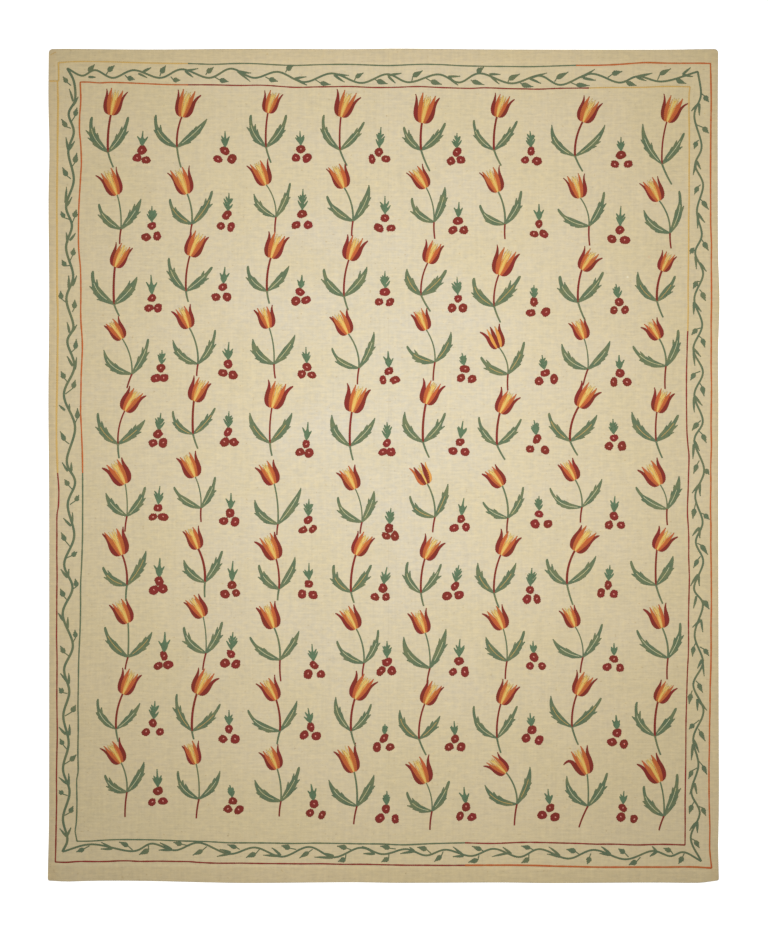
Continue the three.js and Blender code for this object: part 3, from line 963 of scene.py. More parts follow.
# %% Chart of the forks: base and tip of each slender leaf
SLENDER_HEAD = [
    (88.5, 76.9, 95.7, 77.1), (143, 71.8, 151.2, 67.7), (138.3, 73.6, 147.2, 77.9),
    (184.8, 70.8, 198.2, 68.5), (185.2, 71, 193.2, 77.3), (237.5, 71, 251.3, 73.1),
    (237.5, 71.4, 250.4, 81.7), (294.5, 78.5, 306.4, 76.8), (295.5, 79.2, 306.8, 85.4),
    (334, 74.2, 349, 75.4), (334, 74.8, 344.6, 82.2), (387.5, 75.6, 401.6, 73.3),
    (388.3, 76.5, 395.4, 83.2), (448, 76.6, 460.3, 76.3), (448.5, 77, 458, 85.4),
    (489.3, 74.2, 500.5, 74.5), (489.8, 75.5, 499.2, 84.2), (529.3, 78.2, 547, 73.1),
    (529.5, 78.6, 541, 83.6), (581, 77.5, 594.8, 69.3), (583, 78, 595.7, 80.4),
    (636, 77, 652.4, 73.2), (637, 77.4, 646.3, 80.8), (682.5, 74.4, 690.6, 67.6),
    (682.5, 74.5, 692.8, 76.7),
]
SLENDER_RIGHT = [
    (699.5, 103.3, 691.2, 111), (699.4, 103.8, 699.3, 115.6), (696, 161, 693, 175),
    (696.8, 161, 700.7, 169.4),
    (697.8, 212.8, 697.5, 228.3), (698, 213, 704.8, 222.6), (695.2, 256.5, 696.3, 269.2),
    (699.5, 262.5, 706.3, 271.6), (693.8, 302, 693.5, 314.4), (694.3, 302.6, 701.2, 311.7),
    (693.6, 350, 694.8, 365.8), (693.8, 348.6, 700.8, 356.8), (694, 397, 694.3, 412.4),
    (694.6, 395.8, 702.2, 405.6), (693.7, 444, 692.8, 459), (693.9, 440.2, 699.3, 451),
    (699.6, 484, 692, 493), (700, 483.6, 700.2, 496), (699, 527.6, 692.4, 535.9),
    (699.6, 527.4, 699.8, 538.2),
    (698, 574.4, 690.5, 585.8), (698.6, 574, 699.3, 586), (696.3, 596, 693.3, 608.3),
    (700.9, 619.6, 692.3, 627.2), (701.2, 619.4, 702.8, 632.2), (701.7, 659.5, 697.4, 668.4),
    (702.2, 659.5, 704.2, 676.3), (697.2, 698.8, 697.3, 710.6), (697.6, 699, 706.9, 710.5),
    (692.9, 744, 691.3, 760.2), (693.8, 739.8, 698.9, 752.6), (694, 783, 689.5, 794.2),
    (694.5, 783, 696.7, 794),
    (696.7, 822, 689.4, 830.6), (697.2, 821.6, 697.3, 832.8),
]
SLENDER_FOOT = [
    (656.8, 851.6, 652, 846.4), (656.8, 851.8, 649.8, 856.4), (610.5, 854.2, 601.4, 846.5),
    (611, 855, 599.4, 853.4), (559.8, 855.8, 548.8, 846.8), (559.8, 857, 547.1, 854),
    (511.5, 853.8, 502.8, 847), (509.5, 853, 491.8, 856.8), (463, 854.6, 453.1, 846.6),
    (463.6, 856.2, 452.8, 856.6), (415.5, 852.4, 409.4, 847), (414.5, 851.4, 400.2, 853.6),
    (374.8, 853, 361.9, 846.2), (375, 853.6, 363.4, 853.4), (333.8, 856, 324.8, 853),
    (332.8, 857.8, 314.4, 857.1), (280.8, 855.4, 271.8, 847.7), (280.6, 855.8, 263.1, 855.1),
    (230.8, 852.6, 219.7, 849.4), (230.4, 853.6, 217, 856.4), (171.8, 849.4, 160, 842.6),
    (172, 849.8, 158.6, 850), (112.6, 848.4, 101.4, 842.2), (112.2, 848.8, 100.8, 848.8),
]
SLENDER_LEFT = [
    (66.4, 836.6, 59.8, 828.5), (67, 836.2, 71.1, 827.6), (67, 784, 58.9, 777.3), (68.8, 785, 68.8, 773.4),
    (66, 734.5, 59, 727), (69.4, 735.4, 69.5, 724.4), (67.2, 682, 60.4, 673.4), (68.7, 684, 68.8, 673.1),
    (63.2, 620.6, 58.2, 613), (67.7, 628, 68, 617.1), (67.2, 577.6, 60.8, 569), (67.6, 578, 69, 568.9),
    (71, 526, 63.5, 518.1), (71.9, 524, 72.5, 512.4), (67.8, 471.4, 62.3, 462.4), (71.6, 471, 71.3, 462.4),
    (65, 410.4, 59, 405), (69.3, 411, 69.3, 403.8), (72.8, 366.2, 67.2, 356.2), (75, 369.6, 76.8, 357.5),
    (69.6, 332.8, 67.2, 322.2), (72, 332, 77, 324.8), (68.6, 288, 68.8, 275.6), (72.4, 286, 76.8, 275.7),
    (67.4, 243, 66.2, 232.4), (69.6, 240.6, 75.6, 233.1), (65.4, 203, 66.5, 186.8), (67, 206, 72.1, 196.9),
    (68.2, 150, 66, 137.2), (68.9, 150, 74.8, 141.2), (73, 101.4, 69.3, 88.8), (73.4, 105.4, 78.3, 96.8),
]
slender_leaves = SLENDER_HEAD + SLENDER_RIGHT + SLENDER_FOOT + SLENDER_LEFT
print("slender leaves charted:", len(slender_leaves))

# %% Leaves of the vine
PLUMP = [(0, 0.45), (0.1, 0.85), (0.28, 1.0), (0.5, 0.8), (0.75, 0.42), (1, 0.06)]
SLENDER = [(0, 0.75), (0.25, 1.0), (0.6, 0.85), (0.85, 0.5), (1, 0.12)]
PLUMP_HALF = 9.2
SLENDER_HALF = 5.0
STALK_HALF = 2.2

for numbers in plump_leaves:
    foot, neck, tip = [on_cloth(numbers[i], numbers[i + 1]) for i in (0, 2, 4)]
    sew_shape("vine_leaves", np.array([foot, (foot + neck) / 2, neck]), STALK_HALF, STALK_HALF, lift=0.05)
    belly = (neck + tip) / 2 + turn(tip - neck, 90) * needle.uniform(-0.06, 0.06)
    path = bezier([neck, belly, tip], 8)
    width = profile(PLUMP, len(path)) * PLUMP_HALF * needle.uniform(0.9, 1.1)
    sew_shape("vine_leaves", path, width, width, lift=0.15)
for numbers in slender_leaves:
    base, tip = [on_cloth(numbers[i], numbers[i + 1]) for i in (0, 2)]
    belly = (base + tip) / 2 + turn(tip - base, 90) * needle.uniform(-0.05, 0.05)
    path = bezier([base, belly, tip], 7)
    width = profile(SLENDER, len(path)) * SLENDER_HALF * needle.uniform(0.9, 1.1)
    sew_shape("vine_leaves", path, width, width, lift=0.1)
print("vine leaves:", len(work_of("vine_leaves")["rows"]), "rows")

# %% [markdown]
# ## Tulip plants
# Eighty tulips stand in ten rows of eight. For each the chart gives five places in photograph pixels: the
# junction where leaves and stem meet, the base of the flower, the middle of its top, and the tips of the left
# and right leaves. They were read from crops. Everything between those places is worked out by
# formula, so no plant is a copy of another, and none is drawn round.

# %% Chart of the tulips: junction, flower base, flower top, left leaf tip, right leaf tip
TULIPS = [
    [((108, 152), (111, 115), (115, 90), (92, 117), (128, 117)),
     ((177, 147), (182, 117), (187, 91), (156, 115), (207, 119)),
     ((266, 147), (268, 113), (273, 92), (251, 115), (286, 115)),
     ((340, 150), (341, 117), (348, 92), (324, 115), (364, 122)),
     ((421, 150), (422, 123), (427, 95), (404, 127), (445, 123)),
     ((494, 150), (497, 117), (503, 95), (474, 120), (517, 121)),
     ((575, 156), (583, 122), (592, 99), (552, 125), (605, 125)),
     ((662, 164), (667, 122), (675, 97), (643, 124), (684, 133))],
    [((121, 229), (117, 195), (108, 170), (99, 204), (141, 199)),
     ((192, 224), (187, 194), (179, 169), (170, 199), (212, 191)),
     ((276, 217), (266, 185), (258, 162), (254, 194), (290, 183)),
     ((353, 221), (344, 188), (336, 165), (327, 196), (369, 185)),
     ((434, 222), (426, 188), (415, 168), (412, 198), (445, 187)),
     ((505, 224), (498, 192), (490, 169), (480, 205), (521, 191)),
     ((589, 226), (580, 198), (575, 175), (558, 209), (604, 192)),
     ((670, 233), (659, 201), (650, 179), (644, 210), (679, 191))],
    [((114, 304), (115, 267), (124, 245), (93, 271), (137, 277)),
     ((186, 291), (190, 256), (199, 233), (169, 258), (212, 267)),
     ((267, 291), (271, 258), (278, 234), (248, 266), (289, 266)),
     ((344, 296), (349, 260), (356, 237), (324, 269), (367, 267)),
     ((421, 295), (428, 263), (435, 242), (407, 269), (446, 270)),
     ((494, 306), (499, 275), (508, 249), (474, 278), (520, 276)),
     ((578, 302), (582, 270), (593, 251), (560, 276), (603, 272)),
     ((657, 301), (662, 271), (669, 253), (638, 272), (675, 276))],
    [((132, 374), (122, 339), (111, 321), (104, 350), (148, 339)),
     ((198, 364), (189, 328), (182, 307), (173, 340), (215, 330)),
     ((274, 364), (269, 328), (264, 307), (253, 339), (295, 335)),
     ((359, 368), (348, 334), (338, 313), (332, 348), (374, 332)),
     ((435, 362), (426, 330), (419, 310), (407, 346), (451, 332)),
     ((508, 374), (499, 348), (491, 327), (481, 357), (524, 342)),
     ((588, 369), (584, 339), (578, 320), (562, 344), (610, 341)),
     ((666, 366), (659, 339), (650, 321), (633, 346), (678, 330))],
    [((118, 444), (125, 411), (137, 390), (98, 413), (145, 420)),
     ((193, 434), (194, 401), (202, 379), (173, 411), (215, 408)),
     ((270, 443), (272, 408), (279, 382), (250, 413), (292, 413)),
     ((350, 446), (352, 412), (359, 386), (332, 415), (375, 418)),
     ((423, 442), (426, 404), (434, 382), (405, 412), (445, 413)),
     ((497, 445), (500, 413), (510, 392), (479, 417), (521, 419)),
     ((570, 441), (579, 407), (591, 385), (549, 413), (597, 415)),
     ((656, 441), (657, 412), (664, 390), (632, 412), (678, 415))],
    [((127, 516), (125, 484), (114, 461), (106, 493), (145, 487)),
     ((201, 508), (195, 477), (187, 454), (174, 487), (215, 477)),
     ((278, 524), (274, 484), (265, 463), (255, 500), (301, 488)),
     ((362, 522), (355, 489), (346, 468), (338, 497), (374, 491)),
     ((435, 517), (427, 484), (419, 465), (410, 496), (448, 484)),
     ((508, 518), (502, 486), (490, 468), (483, 502), (523, 487)),
     ((582, 507), (575, 480), (566, 461), (550, 488), (602, 479)),
     ((667, 509), (660, 485), (649, 463), (636, 487), (679, 476))],
    [((127, 585), (122, 555), (113, 530), (103, 567), (146, 551)),
     ((205, 582), (198, 549), (191, 528), (184, 560), (222, 551)),
     ((279, 589), (276, 559), (267, 535), (259, 565), (295, 557)),
     ((351, 592), (356, 555), (366, 534), (334, 565), (371, 565)),
     ((421, 593), (425, 559), (435, 538), (408, 562), (441, 564)),
     ((494, 593), (501, 555), (511, 533), (478, 563), (516, 563)),
     ((567, 584), (575, 551), (589, 529), (547, 559), (596, 556)),
     ((656, 585), (657, 550), (668, 530), (631, 561), (673, 556))],
    [((128, 657), (128, 623), (119, 601), (105, 627), (152, 632)),
     ((206, 653), (203, 617), (192, 597), (184, 627), (222, 622)),
     ((280, 660), (274, 628), (267, 604), (250, 637), (299, 631)),
     ((364, 663), (356, 629), (346, 608), (337, 641), (378, 630)),
     ((430, 668), (425, 633), (418, 611), (404, 637), (446, 629)),
     ((507, 661), (503, 629), (494, 608), (486, 637), (524, 631)),
     ((583, 657), (575, 627), (568, 607), (553, 639), (602, 624)),
     ((668, 658), (662, 628), (656, 605), (637, 630), (680, 623))],
    [((116, 729), (123, 694), (132, 671), (98, 699), (140, 703)),
     ((192, 731), (197, 694), (207, 671), (177, 694), (220, 704)),
     ((280, 731), (276, 700), (266, 679), (248, 710), (297, 701)),
     ((351, 731), (355, 699), (367, 676), (336, 697), (371, 704)),
     ((419, 739), (425, 704), (435, 683), (400, 710), (440, 716)),
     ((497, 738), (501, 704), (510, 682), (474, 706), (517, 706)),
     ((572, 727), (577, 695), (587, 674), (551, 696), (601, 698)),
     ((655, 736), (658, 702), (668, 683), (637, 702), (676, 708))],
    [((127, 792), (121, 763), (110, 743), (105, 775), (144, 762)),
     ((199, 799), (196, 764), (190, 743), (178, 771), (220, 771)),
     ((281, 801), (277, 769), (269, 748), (255, 780), (299, 767)),
     ((357, 806), (354, 772), (345, 747), (329, 780), (374, 775)),
     ((432, 811), (426, 783), (417, 759), (407, 792), (449, 781)),
     ((517, 804), (506, 773), (491, 758), (485, 785), (530, 767)),
     ((588, 806), (587, 774), (578, 749), (567, 776), (607, 773)),
     ((664, 816), (660, 782), (649, 757), (644, 786), (677, 774))],
]
print("tulips charted:", sum(len(row) for row in TULIPS))

# %% [markdown]
# A flower is a cup of petals seen from the side. From one margin to the other it runs dark red, rust, orange,
# gold with a pale tip, orange, rust, and a dark red petal whose tip curls out. Each petal is a curve with a
# width table, given in heights of the flower and mirrored for the flowers that lean left.

# %% Petals of one flower
FAT = [(0, 0.42), (0.12, 0.84), (0.33, 1.0), (0.55, 0.86), (0.73, 0.56), (0.88, 0.36), (1, 0.14)]
TAILED = [(0, 0.42), (0.12, 0.84), (0.33, 1.0), (0.52, 0.88), (0.67, 0.64), (0.82, 0.5), (0.94, 0.37),
          (1, 0.18)]
STRIPE = [(0, 0.5), (0.2, 0.86), (0.46, 1.0), (0.7, 0.84), (0.88, 0.5), (1, 0.14)]
PETALS = [
    {"yarn": "dark_red", "line": [(-0.085, 0.03), (-0.385, 0.20), (-0.20, 0.68), (-0.40, 1.0)],
     "half": 0.104, "width": FAT, "lift": 0.0},
    {"yarn": "dark_red", "line": [(0.085, 0.03), (0.375, 0.18), (0.195, 0.64), (0.49, 0.99)],
     "half": 0.102, "width": TAILED, "lift": 0.1},
    {"yarn": "rust", "line": [(-0.07, 0.0), (-0.195, 0.45), (-0.125, 1.03)],
     "half": 0.084, "width": STRIPE, "lift": 0.35},
    {"yarn": "rust", "line": [(0.06, 0.0), (0.185, 0.45), (0.30, 1.0)],
     "half": 0.084, "width": STRIPE, "lift": 0.45},
    {"yarn": "orange", "line": [(-0.03, 0.04), (-0.09, 0.45), (-0.06, 0.88)],
     "half": 0.032, "width": STRIPE, "lift": 0.75},
    {"yarn": "orange", "line": [(0.03, 0.03), (0.085, 0.45), (0.165, 0.88)],
     "half": 0.034, "width": STRIPE, "lift": 0.85},
    {"yarn": "gold", "line": [(0.0, 0.0), (-0.01, 0.48), (0.06, 0.94)],
     "half": 0.060, "width": STRIPE, "lift": 1.15},
    {"yarn": "pale_yellow", "line": [(-0.02, 0.60), (-0.02, 0.78), (-0.01, 0.98)],
     "half": 0.032, "width": STRIPE, "lift": 1.3},
    {"yarn": "pale_yellow", "line": [(0.06, 0.60), (0.09, 0.78), (0.15, 0.98)],
     "half": 0.034, "width": STRIPE, "lift": 1.4},
]
PETAL_STEP = 6.0
SPLAY = 0.08
DARK_HEARTED = [
    PETALS[0], PETALS[1],
    {**PETALS[4], "line": [(-0.10, 0.02), (-0.19, 0.42), (-0.16, 0.96)], "half": 0.080},
    {**PETALS[5], "line": [(0.09, 0.02), (0.19, 0.42), (0.22, 0.94)], "half": 0.085},
    {**PETALS[6], "yarn": "dark_red", "line": [(0.0, 0.0), (0.0, 0.50), (0.04, 1.0)], "half": 0.075},
]
ORANGE_OUTSIDE = [
    {**PETALS[0], "yarn": "orange"}, {**PETALS[1], "yarn": "rust"},
    {**PETALS[2], "yarn": "dark_red", "half": 0.092}, {**PETALS[3], "yarn": "dark_red", "half": 0.092},
    PETALS[6], PETALS[7],
]
CURLED_OUT = [
    {**petal, "line": [(0.08, 0.0), (0.44, 0.16), (0.16, 0.95), (0.76, 0.62)], "half": 0.1}
    if petal is PETALS[1] else petal for petal in PETALS
]
OWN_PETALS = {(4, 6): DARK_HEARTED, (6, 5): ORANGE_OUTSIDE, (10, 7): CURLED_OUT}


def sew_flower(base, top, lean, petals, dark_share):
    """The petals of one flower between its base and the middle of its top."""
    up = top - base
    height = float(np.hypot(*up))
    across_way = turn(up, -90 * lean) * needle.uniform(0.93, 1.07)
    for petal in petals:
        points = []
        outer = petal["line"][-1][0] > 0.4 or petal["line"][-1][0] < -0.3
        splay = needle.uniform(-SPLAY, SPLAY) if outer else needle.normal(0, 0.015)
        for a, u in petal["line"]:
            # the belly of a petal wavers, and its tip splays
            if 0.1 < u < 0.8:
                a = a + needle.normal(0, 0.018)
            if u > 0.9:
                a = a + splay
                u = u + needle.normal(0, 0.02) - abs(splay) * (0.6 if a > 0.5 else 0.0)
            points.append(base + across_way * a + up * u)
        reach = sum(np.hypot(*(q - p)) for p, q in zip(points[:-1], points[1:]))
        path = bezier(points, max(7, int(reach / PETAL_STEP) + 1))
        width = profile(petal["width"], len(path)) * petal["half"] * height * needle.uniform(0.92, 1.15)
        if petal["yarn"] == "dark_red":
            width = width * dark_share
        sew_shape(petal["yarn"] + "_petals", path, width, width, lift=petal["lift"])


print("a flower has", len(PETALS), "petals")

# %% [markdown]
# A leaf springs from the junction and bows outwards, the left one with an elbow where it turns up. Beyond the
# elbow it is a bare finger or a plain point. Teeth stand on its margins and point forward, up to three on the
# outer side and two on the inner. A thin row of cream or gold runs up the middle of its broad part.

# %% One leaf
FINGERED = [(0, 0.24), (0.08, 0.5), (0.2, 0.84), (0.36, 1.0), (0.5, 0.95), (0.62, 0.66), (0.7, 0.46),
            (0.95, 0.36), (1, 0.2)]
POINTED = [(0, 0.24), (0.1, 0.54), (0.24, 0.88), (0.42, 1.0), (0.6, 0.88), (0.76, 0.6), (0.9, 0.36), (1, 0.1)]
TOOTH = [(0, 1.0), (0.35, 0.92), (0.7, 0.6), (1, 0.15)]
OUTER_TEETH = (0.18, 0.34, 0.50)
INNER_TEETH = (0.34, 0.54)
LEAF_STATIONS = 24
LEAF_USUAL = 130
ELBOW_AT = 0.58
OUTER_BODY = 1.08
INNER_BODY = 0.96
OUTER_SKIP = 0.04
INNER_SKIP = 0.26
TOOTH_LENGTH = 20
TOOTH_HALF = 5.4
TOOTH_USUAL_BREADTH = 0.09
RIB_HALF = 1.5
RIB_FULLNESS = 0.55


def sew_leaf(base, tip, side, rib, breadth):
    """One leaf from the junction to its tip. side is 1 for the left leaf and -1 for the right one."""
    chord = tip - base
    length = float(np.hypot(*chord))
    off = needle.uniform(0.11, 0.19) if side > 0 else needle.uniform(0.045, 0.10)
    elbow = base + chord * ELBOW_AT + turn(chord, 90 * side) * off * 2
    path = bezier([base, elbow, tip], LEAF_STATIONS)
    share_along = np.linspace(0, 1, LEAF_STATIONS)
    table = FINGERED if needle.random() < 0.6 else POINTED
    body = profile(table, LEAF_STATIONS) * LEAF_USUAL * breadth * needle.uniform(0.94, 1.06)
    outer_body, inner_body = body * OUTER_BODY, body * INNER_BODY
    left, right = (outer_body, inner_body) if side > 0 else (inner_body, outer_body)
    piece = "left_leaves" if side > 0 else "right_leaves"
    sew_shape(piece, path, left, right)
    normal = normals_of(path)
    for teeth, margin, out in ((OUTER_TEETH, outer_body, side), (INNER_TEETH, inner_body, -side)):
        for tooth in teeth:
            if needle.random() < (INNER_SKIP if out != side else OUTER_SKIP):
                continue
            at = int(round((tooth + needle.uniform(-0.03, 0.03)) * (LEAF_STATIONS - 1)))
            root = path[at] + normal[at] * out * margin[at] * 0.5
            way = unit(turn(path[at + 2] - path[at], out * needle.uniform(14, 27)))
            reach = TOOTH_LENGTH * needle.uniform(0.85, 1.2) * breadth / TOOTH_USUAL_BREADTH
            finger = bezier([root, root + way * reach * 0.6, root + way * reach], 6)
            half = profile(TOOTH, len(finger)) * TOOTH_HALF
            sew_shape(piece, finger, half, half, lift=0.04)
    if rib:
        ribbed = (share_along > needle.uniform(0.06, 0.16)) & (share_along < needle.uniform(0.6, 0.76))
        line = path[ribbed] + normal[ribbed] * needle.uniform(-1.2, 1.2)
        sew_shape(rib + "_ribs", line, RIB_HALF, RIB_HALF, lift=TOP_LIFT, rows=False)
        sew_row(rib + "_ribs", line, RIB_FULLNESS, lift=TOP_LIFT)


print("a leaf has up to", len(OUTER_TEETH) + len(INNER_TEETH), "teeth")

# %% [markdown]
# The plants of odd rows have dark red stems, green tails and flowers that lean right. In even rows the stems
# are green, the tails dark red and the flowers lean left. A few plants break the rule, and each is named here
# with what it does instead. The table of tails gives, in pixels, how far each tail ends from its junction.

# %% Sewing the plants
RED_STEM_HALF = 4.4
GREEN_STEM_HALF = 3.5
RED_TAIL_HALF = 3.9
GREEN_TAIL_HALF = 4.2
GOLD_RIBS = 0.3
LEFT_LEANING = {(7, 1), (7, 2), (7, 3), (9, 3)}
TAILS = [
    [(5.3, 15.3), (4, 20.4), (5, 15.7), (7, 15.7), (8.8, 21.2), (7.2, 15.7), (7.7, 15.4), (9.7, 20.4)],
    [(-1.3, 15.1), (-1.5, 10), (-1.1, 15.7), (-1.3, 15.1), (0.8, 16.8), (0, 15.1), (0.7, 19.6), (1.1, 15.4)],
    [(5.3, 12), (2.3, 10.9), (2.4, 12.6), (4.2, 14), (9.3, 16.4), (6.4, 16.4), (7.3, 18.7), (6.1, 16.4)],
    [(-5, 14.2), (-1.3, 12), (1.3, 14.4), (-1.6, 16.4), (-1.8, 18.7), (-0.2, 16.4), (-4.9, 16.4), (-0.9, 23)],
    [(1.1, 14.2), (4.9, 14.7), (2, 12.8), (3.1, 14.2), (6.2, 15.6), (8, 14.7), (7.7, 14.4), (6.3, 16.9)],
    [(-2, 15.6), (0.1, 13.9), (-1.1, 11), (-1.9, 11.7), (-2.3, 15.3), (-1.1, 15), (-1.6, 15.6), (0.4, 16.1)],
    [(-1.1, 15.8), (-0.2, 15.2), (-1.4, 11.3), (3.1, 10.8), (2.7, 13), (5, 14.7), (5.9, 20.8), (6.7, 18.6)],
    [(-2.8, 12.4), (-3.2, 16.9), (0.8, 21.3), (-1.6, 13), (-2.9, 14.7), (-1.7, 18), (-2.7, 15.8),
     (-0.9, 21.3)],
    [(2.4, 12.7), (1.8, 8.2), (-2.9, 13.2), (4.6, 15.4), (7.1, 16), (3.9, 14.9), (6.2, 17.7), (5.6, 18.8)],
    [(-2, 25), (-2.7, 19.3), (-1.8, 15.4), (-3.3, 18.2), (-2.1, 18.8), (-2.6, 21.3), (-9, 21.3), (-5, 14.3)],
]
BREADTHS = [0.106, 0.103, 0.113, 0.100, 0.101, 0.098, 0.103, 0.101, 0.096, 0.098]
DARK_SHARES = [0.92, 0.82, 1.04, 1.16, 1.12, 1.18, 1.08, 1.1, 1.0, 1.04]


def sew_stem(piece, points, half_low, half_high):
    """A stem or tail as one shape of two rows, or one where it is thin."""
    path = bezier(points, 8)
    width = np.linspace(half_low, half_high, len(path))
    sew_shape(piece, path, width, width, lift=0.02)


for r, (plants, tails, usual_breadth, dark_share) in enumerate(
        zip(TULIPS, TAILS, BREADTHS, DARK_SHARES), start=1):
    for c, (places, tail) in enumerate(zip(plants, tails), start=1):
        junction, base, top, left_tip, right_tip = [on_cloth(*place) for place in places]
        odd = r % 2 == 1
        lean = 1 if odd and (r, c) not in LEFT_LEANING else -1
        stem_piece = "dark_red_stems" if odd else "green_stems"
        tail_piece = "green_stems" if odd else "dark_red_stems"
        stem_half = (RED_STEM_HALF if odd else GREEN_STEM_HALF) * needle.uniform(0.78, 1.12)
        tail_half = GREEN_TAIL_HALF if odd else RED_TAIL_HALF
        rise = base - junction
        bend = junction + np.array([-4.0 * lean, 0.55 * rise[1]])
        sew_stem(stem_piece, [junction, bend, base + rise * 0.04], stem_half, stem_half * 0.85)
        drop = on_cloth(*np.add(places[0], tail)) - junction
        tail_bend = junction + drop * 0.5 + turn(drop, -90) * 0.05
        sew_stem(tail_piece, [junction, tail_bend, junction + drop], tail_half * 0.9, tail_half * 0.8)
        rib = "gold" if needle.random() < GOLD_RIBS else "cream"
        breadth = usual_breadth * needle.uniform(0.9, 1.12)
        sew_leaf(junction, left_tip, 1, rib, breadth)
        sew_leaf(junction, right_tip, -1, rib, breadth)
        sew_flower(base, top, lean, OWN_PETALS.get((r, c), PETALS), dark_share)
print("plants sewn:", sum(len(row) for row in TULIPS))

# %% [markdown]
# ## Berry sprigs
# Between the tulips stand clusters of three round berries under a small green sprig. A berry is sewn as
# rings of dark red chain stitch round one or two pale pink stitches, and it is never quite round. The chart
# gives the three berries' middles and the tip of the sprig, in photograph pixels.

# %% Chart of the berries: top berry, left berry, right berry, tip of the sprig
BERRIES = [
    [((142, 150), (137, 158), (146, 160), (143, 131)), ((225, 151), (218, 159), (232, 159), (225, 131)),
     ((301, 149), (296, 158), (307, 158), (300, 131)), ((379, 152), (372, 159), (386, 159), (381, 127)),
     ((457, 152), (451, 161), (461, 160), (457, 133)), ((531, 151), (525, 160), (537, 161), (530, 131)),
     ((621, 155), (615, 164), (628, 164), (621, 137))],
    [((152, 226), (146, 237), (157, 236), (152, 206)), ((227, 215), (221, 226), (231, 227), (229, 193)),
     ((302, 214), (296, 225), (308, 225), (303, 189)), ((385, 218), (379, 228), (391, 228), (385, 196)),
     ((458, 221), (453, 230), (464, 230), (459, 202)), ((539, 224), (534, 234), (544, 234), (539, 204)),
     ((620, 230), (612, 239), (625, 240), (621, 206))],
    [((152, 298), (149, 308), (158, 308), (151, 275)), ((223, 287), (216, 297), (227, 297), (225, 267)),
     ((300, 292), (296, 301), (306, 300), (302, 275)), ((385, 292), (379, 302), (390, 302), (385, 271)),
     ((458, 299), (452, 308), (463, 308), (457, 277)), ((534, 302), (531, 313), (546, 312), (534, 285)),
     ((619, 302), (614, 310), (625, 310), (616, 284))],
    [((161, 368), (156, 378), (164, 378), (162, 350)), ((228, 364), (223, 373), (233, 375), (229, 342)),
     ((307, 367), (302, 374), (312, 375), (306, 347)), ((389, 371), (383, 380), (395, 380), (388, 351)),
     ((465, 369), (461, 378), (472, 379), (462, 353)), ((545, 373), (539, 381), (554, 379), (542, 355)),
     ((620, 373), (614, 382), (627, 382), (619, 355))],
    [((158, 434), (153, 443), (163, 443), (161, 413)), ((228, 432), (225, 442), (234, 442), (229, 411)),
     ((306, 444), (300, 452), (309, 453), (308, 422)), ((387, 443), (383, 452), (391, 452), (387, 422)),
     ((460, 442), (453, 451), (465, 452), (463, 421)), ((537, 439), (530, 449), (545, 450), (534, 420)),
     ((614, 438), (609, 446), (622, 446), (613, 419))],
    [((158, 508), (153, 517), (163, 517), (160, 486)), ((230, 513), (224, 521), (235, 522), (231, 493)),
     ((308, 520), (303, 530), (313, 529), (309, 499)), ((389, 528), (386, 536), (395, 536), (391, 508)),
     ((461, 519), (454, 528), (466, 527), (464, 498)), ((539, 514), (535, 524), (548, 524), (539, 496)),
     ((614, 516), (609, 525), (621, 525), (615, 496))],
    [((159, 581), (154, 590), (163, 589), (160, 558)), ((232, 585), (225, 594), (236, 593), (233, 561)),
     ((309, 584), (302, 594), (313, 595), (309, 563)), ((383, 588), (375, 597), (386, 597), (387, 567)),
     ((455, 586), (447, 596), (459, 595), (459, 565)), ((530, 590), (527, 599), (537, 599), (532, 568)),
     ((608, 585), (601, 593), (614, 594), (610, 565))],
    [((164, 656), (158, 666), (168, 665), (165, 632)), ((231, 654), (225, 663), (236, 664), (233, 632)),
     ((314, 665), (308, 674), (321, 674), (312, 644)), ((387, 662), (381, 671), (392, 671), (387, 641)),
     ((459, 661), (453, 672), (465, 672), (460, 639)), ((534, 657), (530, 666), (542, 666), (533, 641)),
     ((614, 659), (607, 667), (620, 668), (614, 643))],
    [((153, 723), (146, 732), (160, 732), (155, 701)), ((229, 729), (223, 739), (235, 739), (229, 710)),
     ((311, 727), (304, 735), (316, 736), (308, 708)), ((384, 738), (377, 747), (390, 747), (385, 724)),
     ((455, 739), (449, 747), (461, 747), (454, 721)), ((532, 730), (526, 738), (539, 740), (530, 713)),
     ((617, 733), (612, 742), (624, 744), (616, 715))],
    [((158, 791), (152, 802), (163, 801), (157, 769)), ((233, 801), (228, 809), (239, 810), (230, 785)),
     ((314, 804), (310, 813), (322, 815), (311, 784)), ((386, 809), (380, 818), (395, 819), (387, 791)),
     ((466, 807), (460, 816), (472, 817), (464, 787)), ((550, 808), (542, 815), (555, 817), (548, 789)),
     ((623, 808), (621, 817), (634, 819), (624, 791))],
]
BERRY_RADIUS = 16.2
BERRY_SIDES = 12
RING_INSETS = (2.3, 6.8, 11.2)
CENTRE_HALF = 4.2
CENTRE_FULLNESS = 1.15
FEATHER = [(0, 0.5), (0.2, 0.9), (0.4, 1.0), (0.6, 0.75), (0.85, 0.5), (1, 0.2)]
PLUME = [(0, 0.24), (0.1, 0.55), (0.24, 0.95), (0.36, 1.0), (0.48, 0.62), (0.6, 0.34), (0.85, 0.27),
         (1, 0.14)]
SPRIG_KINDS = [
    {"spike": FEATHER, "half": 5.6, "pairs": [(0.08, 27), (0.30, 25), (0.50, 16)]},
    {"spike": PLUME, "half": 12.0, "pairs": [(0.18, 29)]},
    {"spike": PLUME, "half": 10.0, "pairs": [(0.10, 28), (0.31, 24)]},
]
SPRIG_USUAL = 60
LEAFLET = [(0, 0.9), (0.5, 1.0), (0.85, 0.72), (1, 0.38)]
LEAFLET_HALF = 4.2


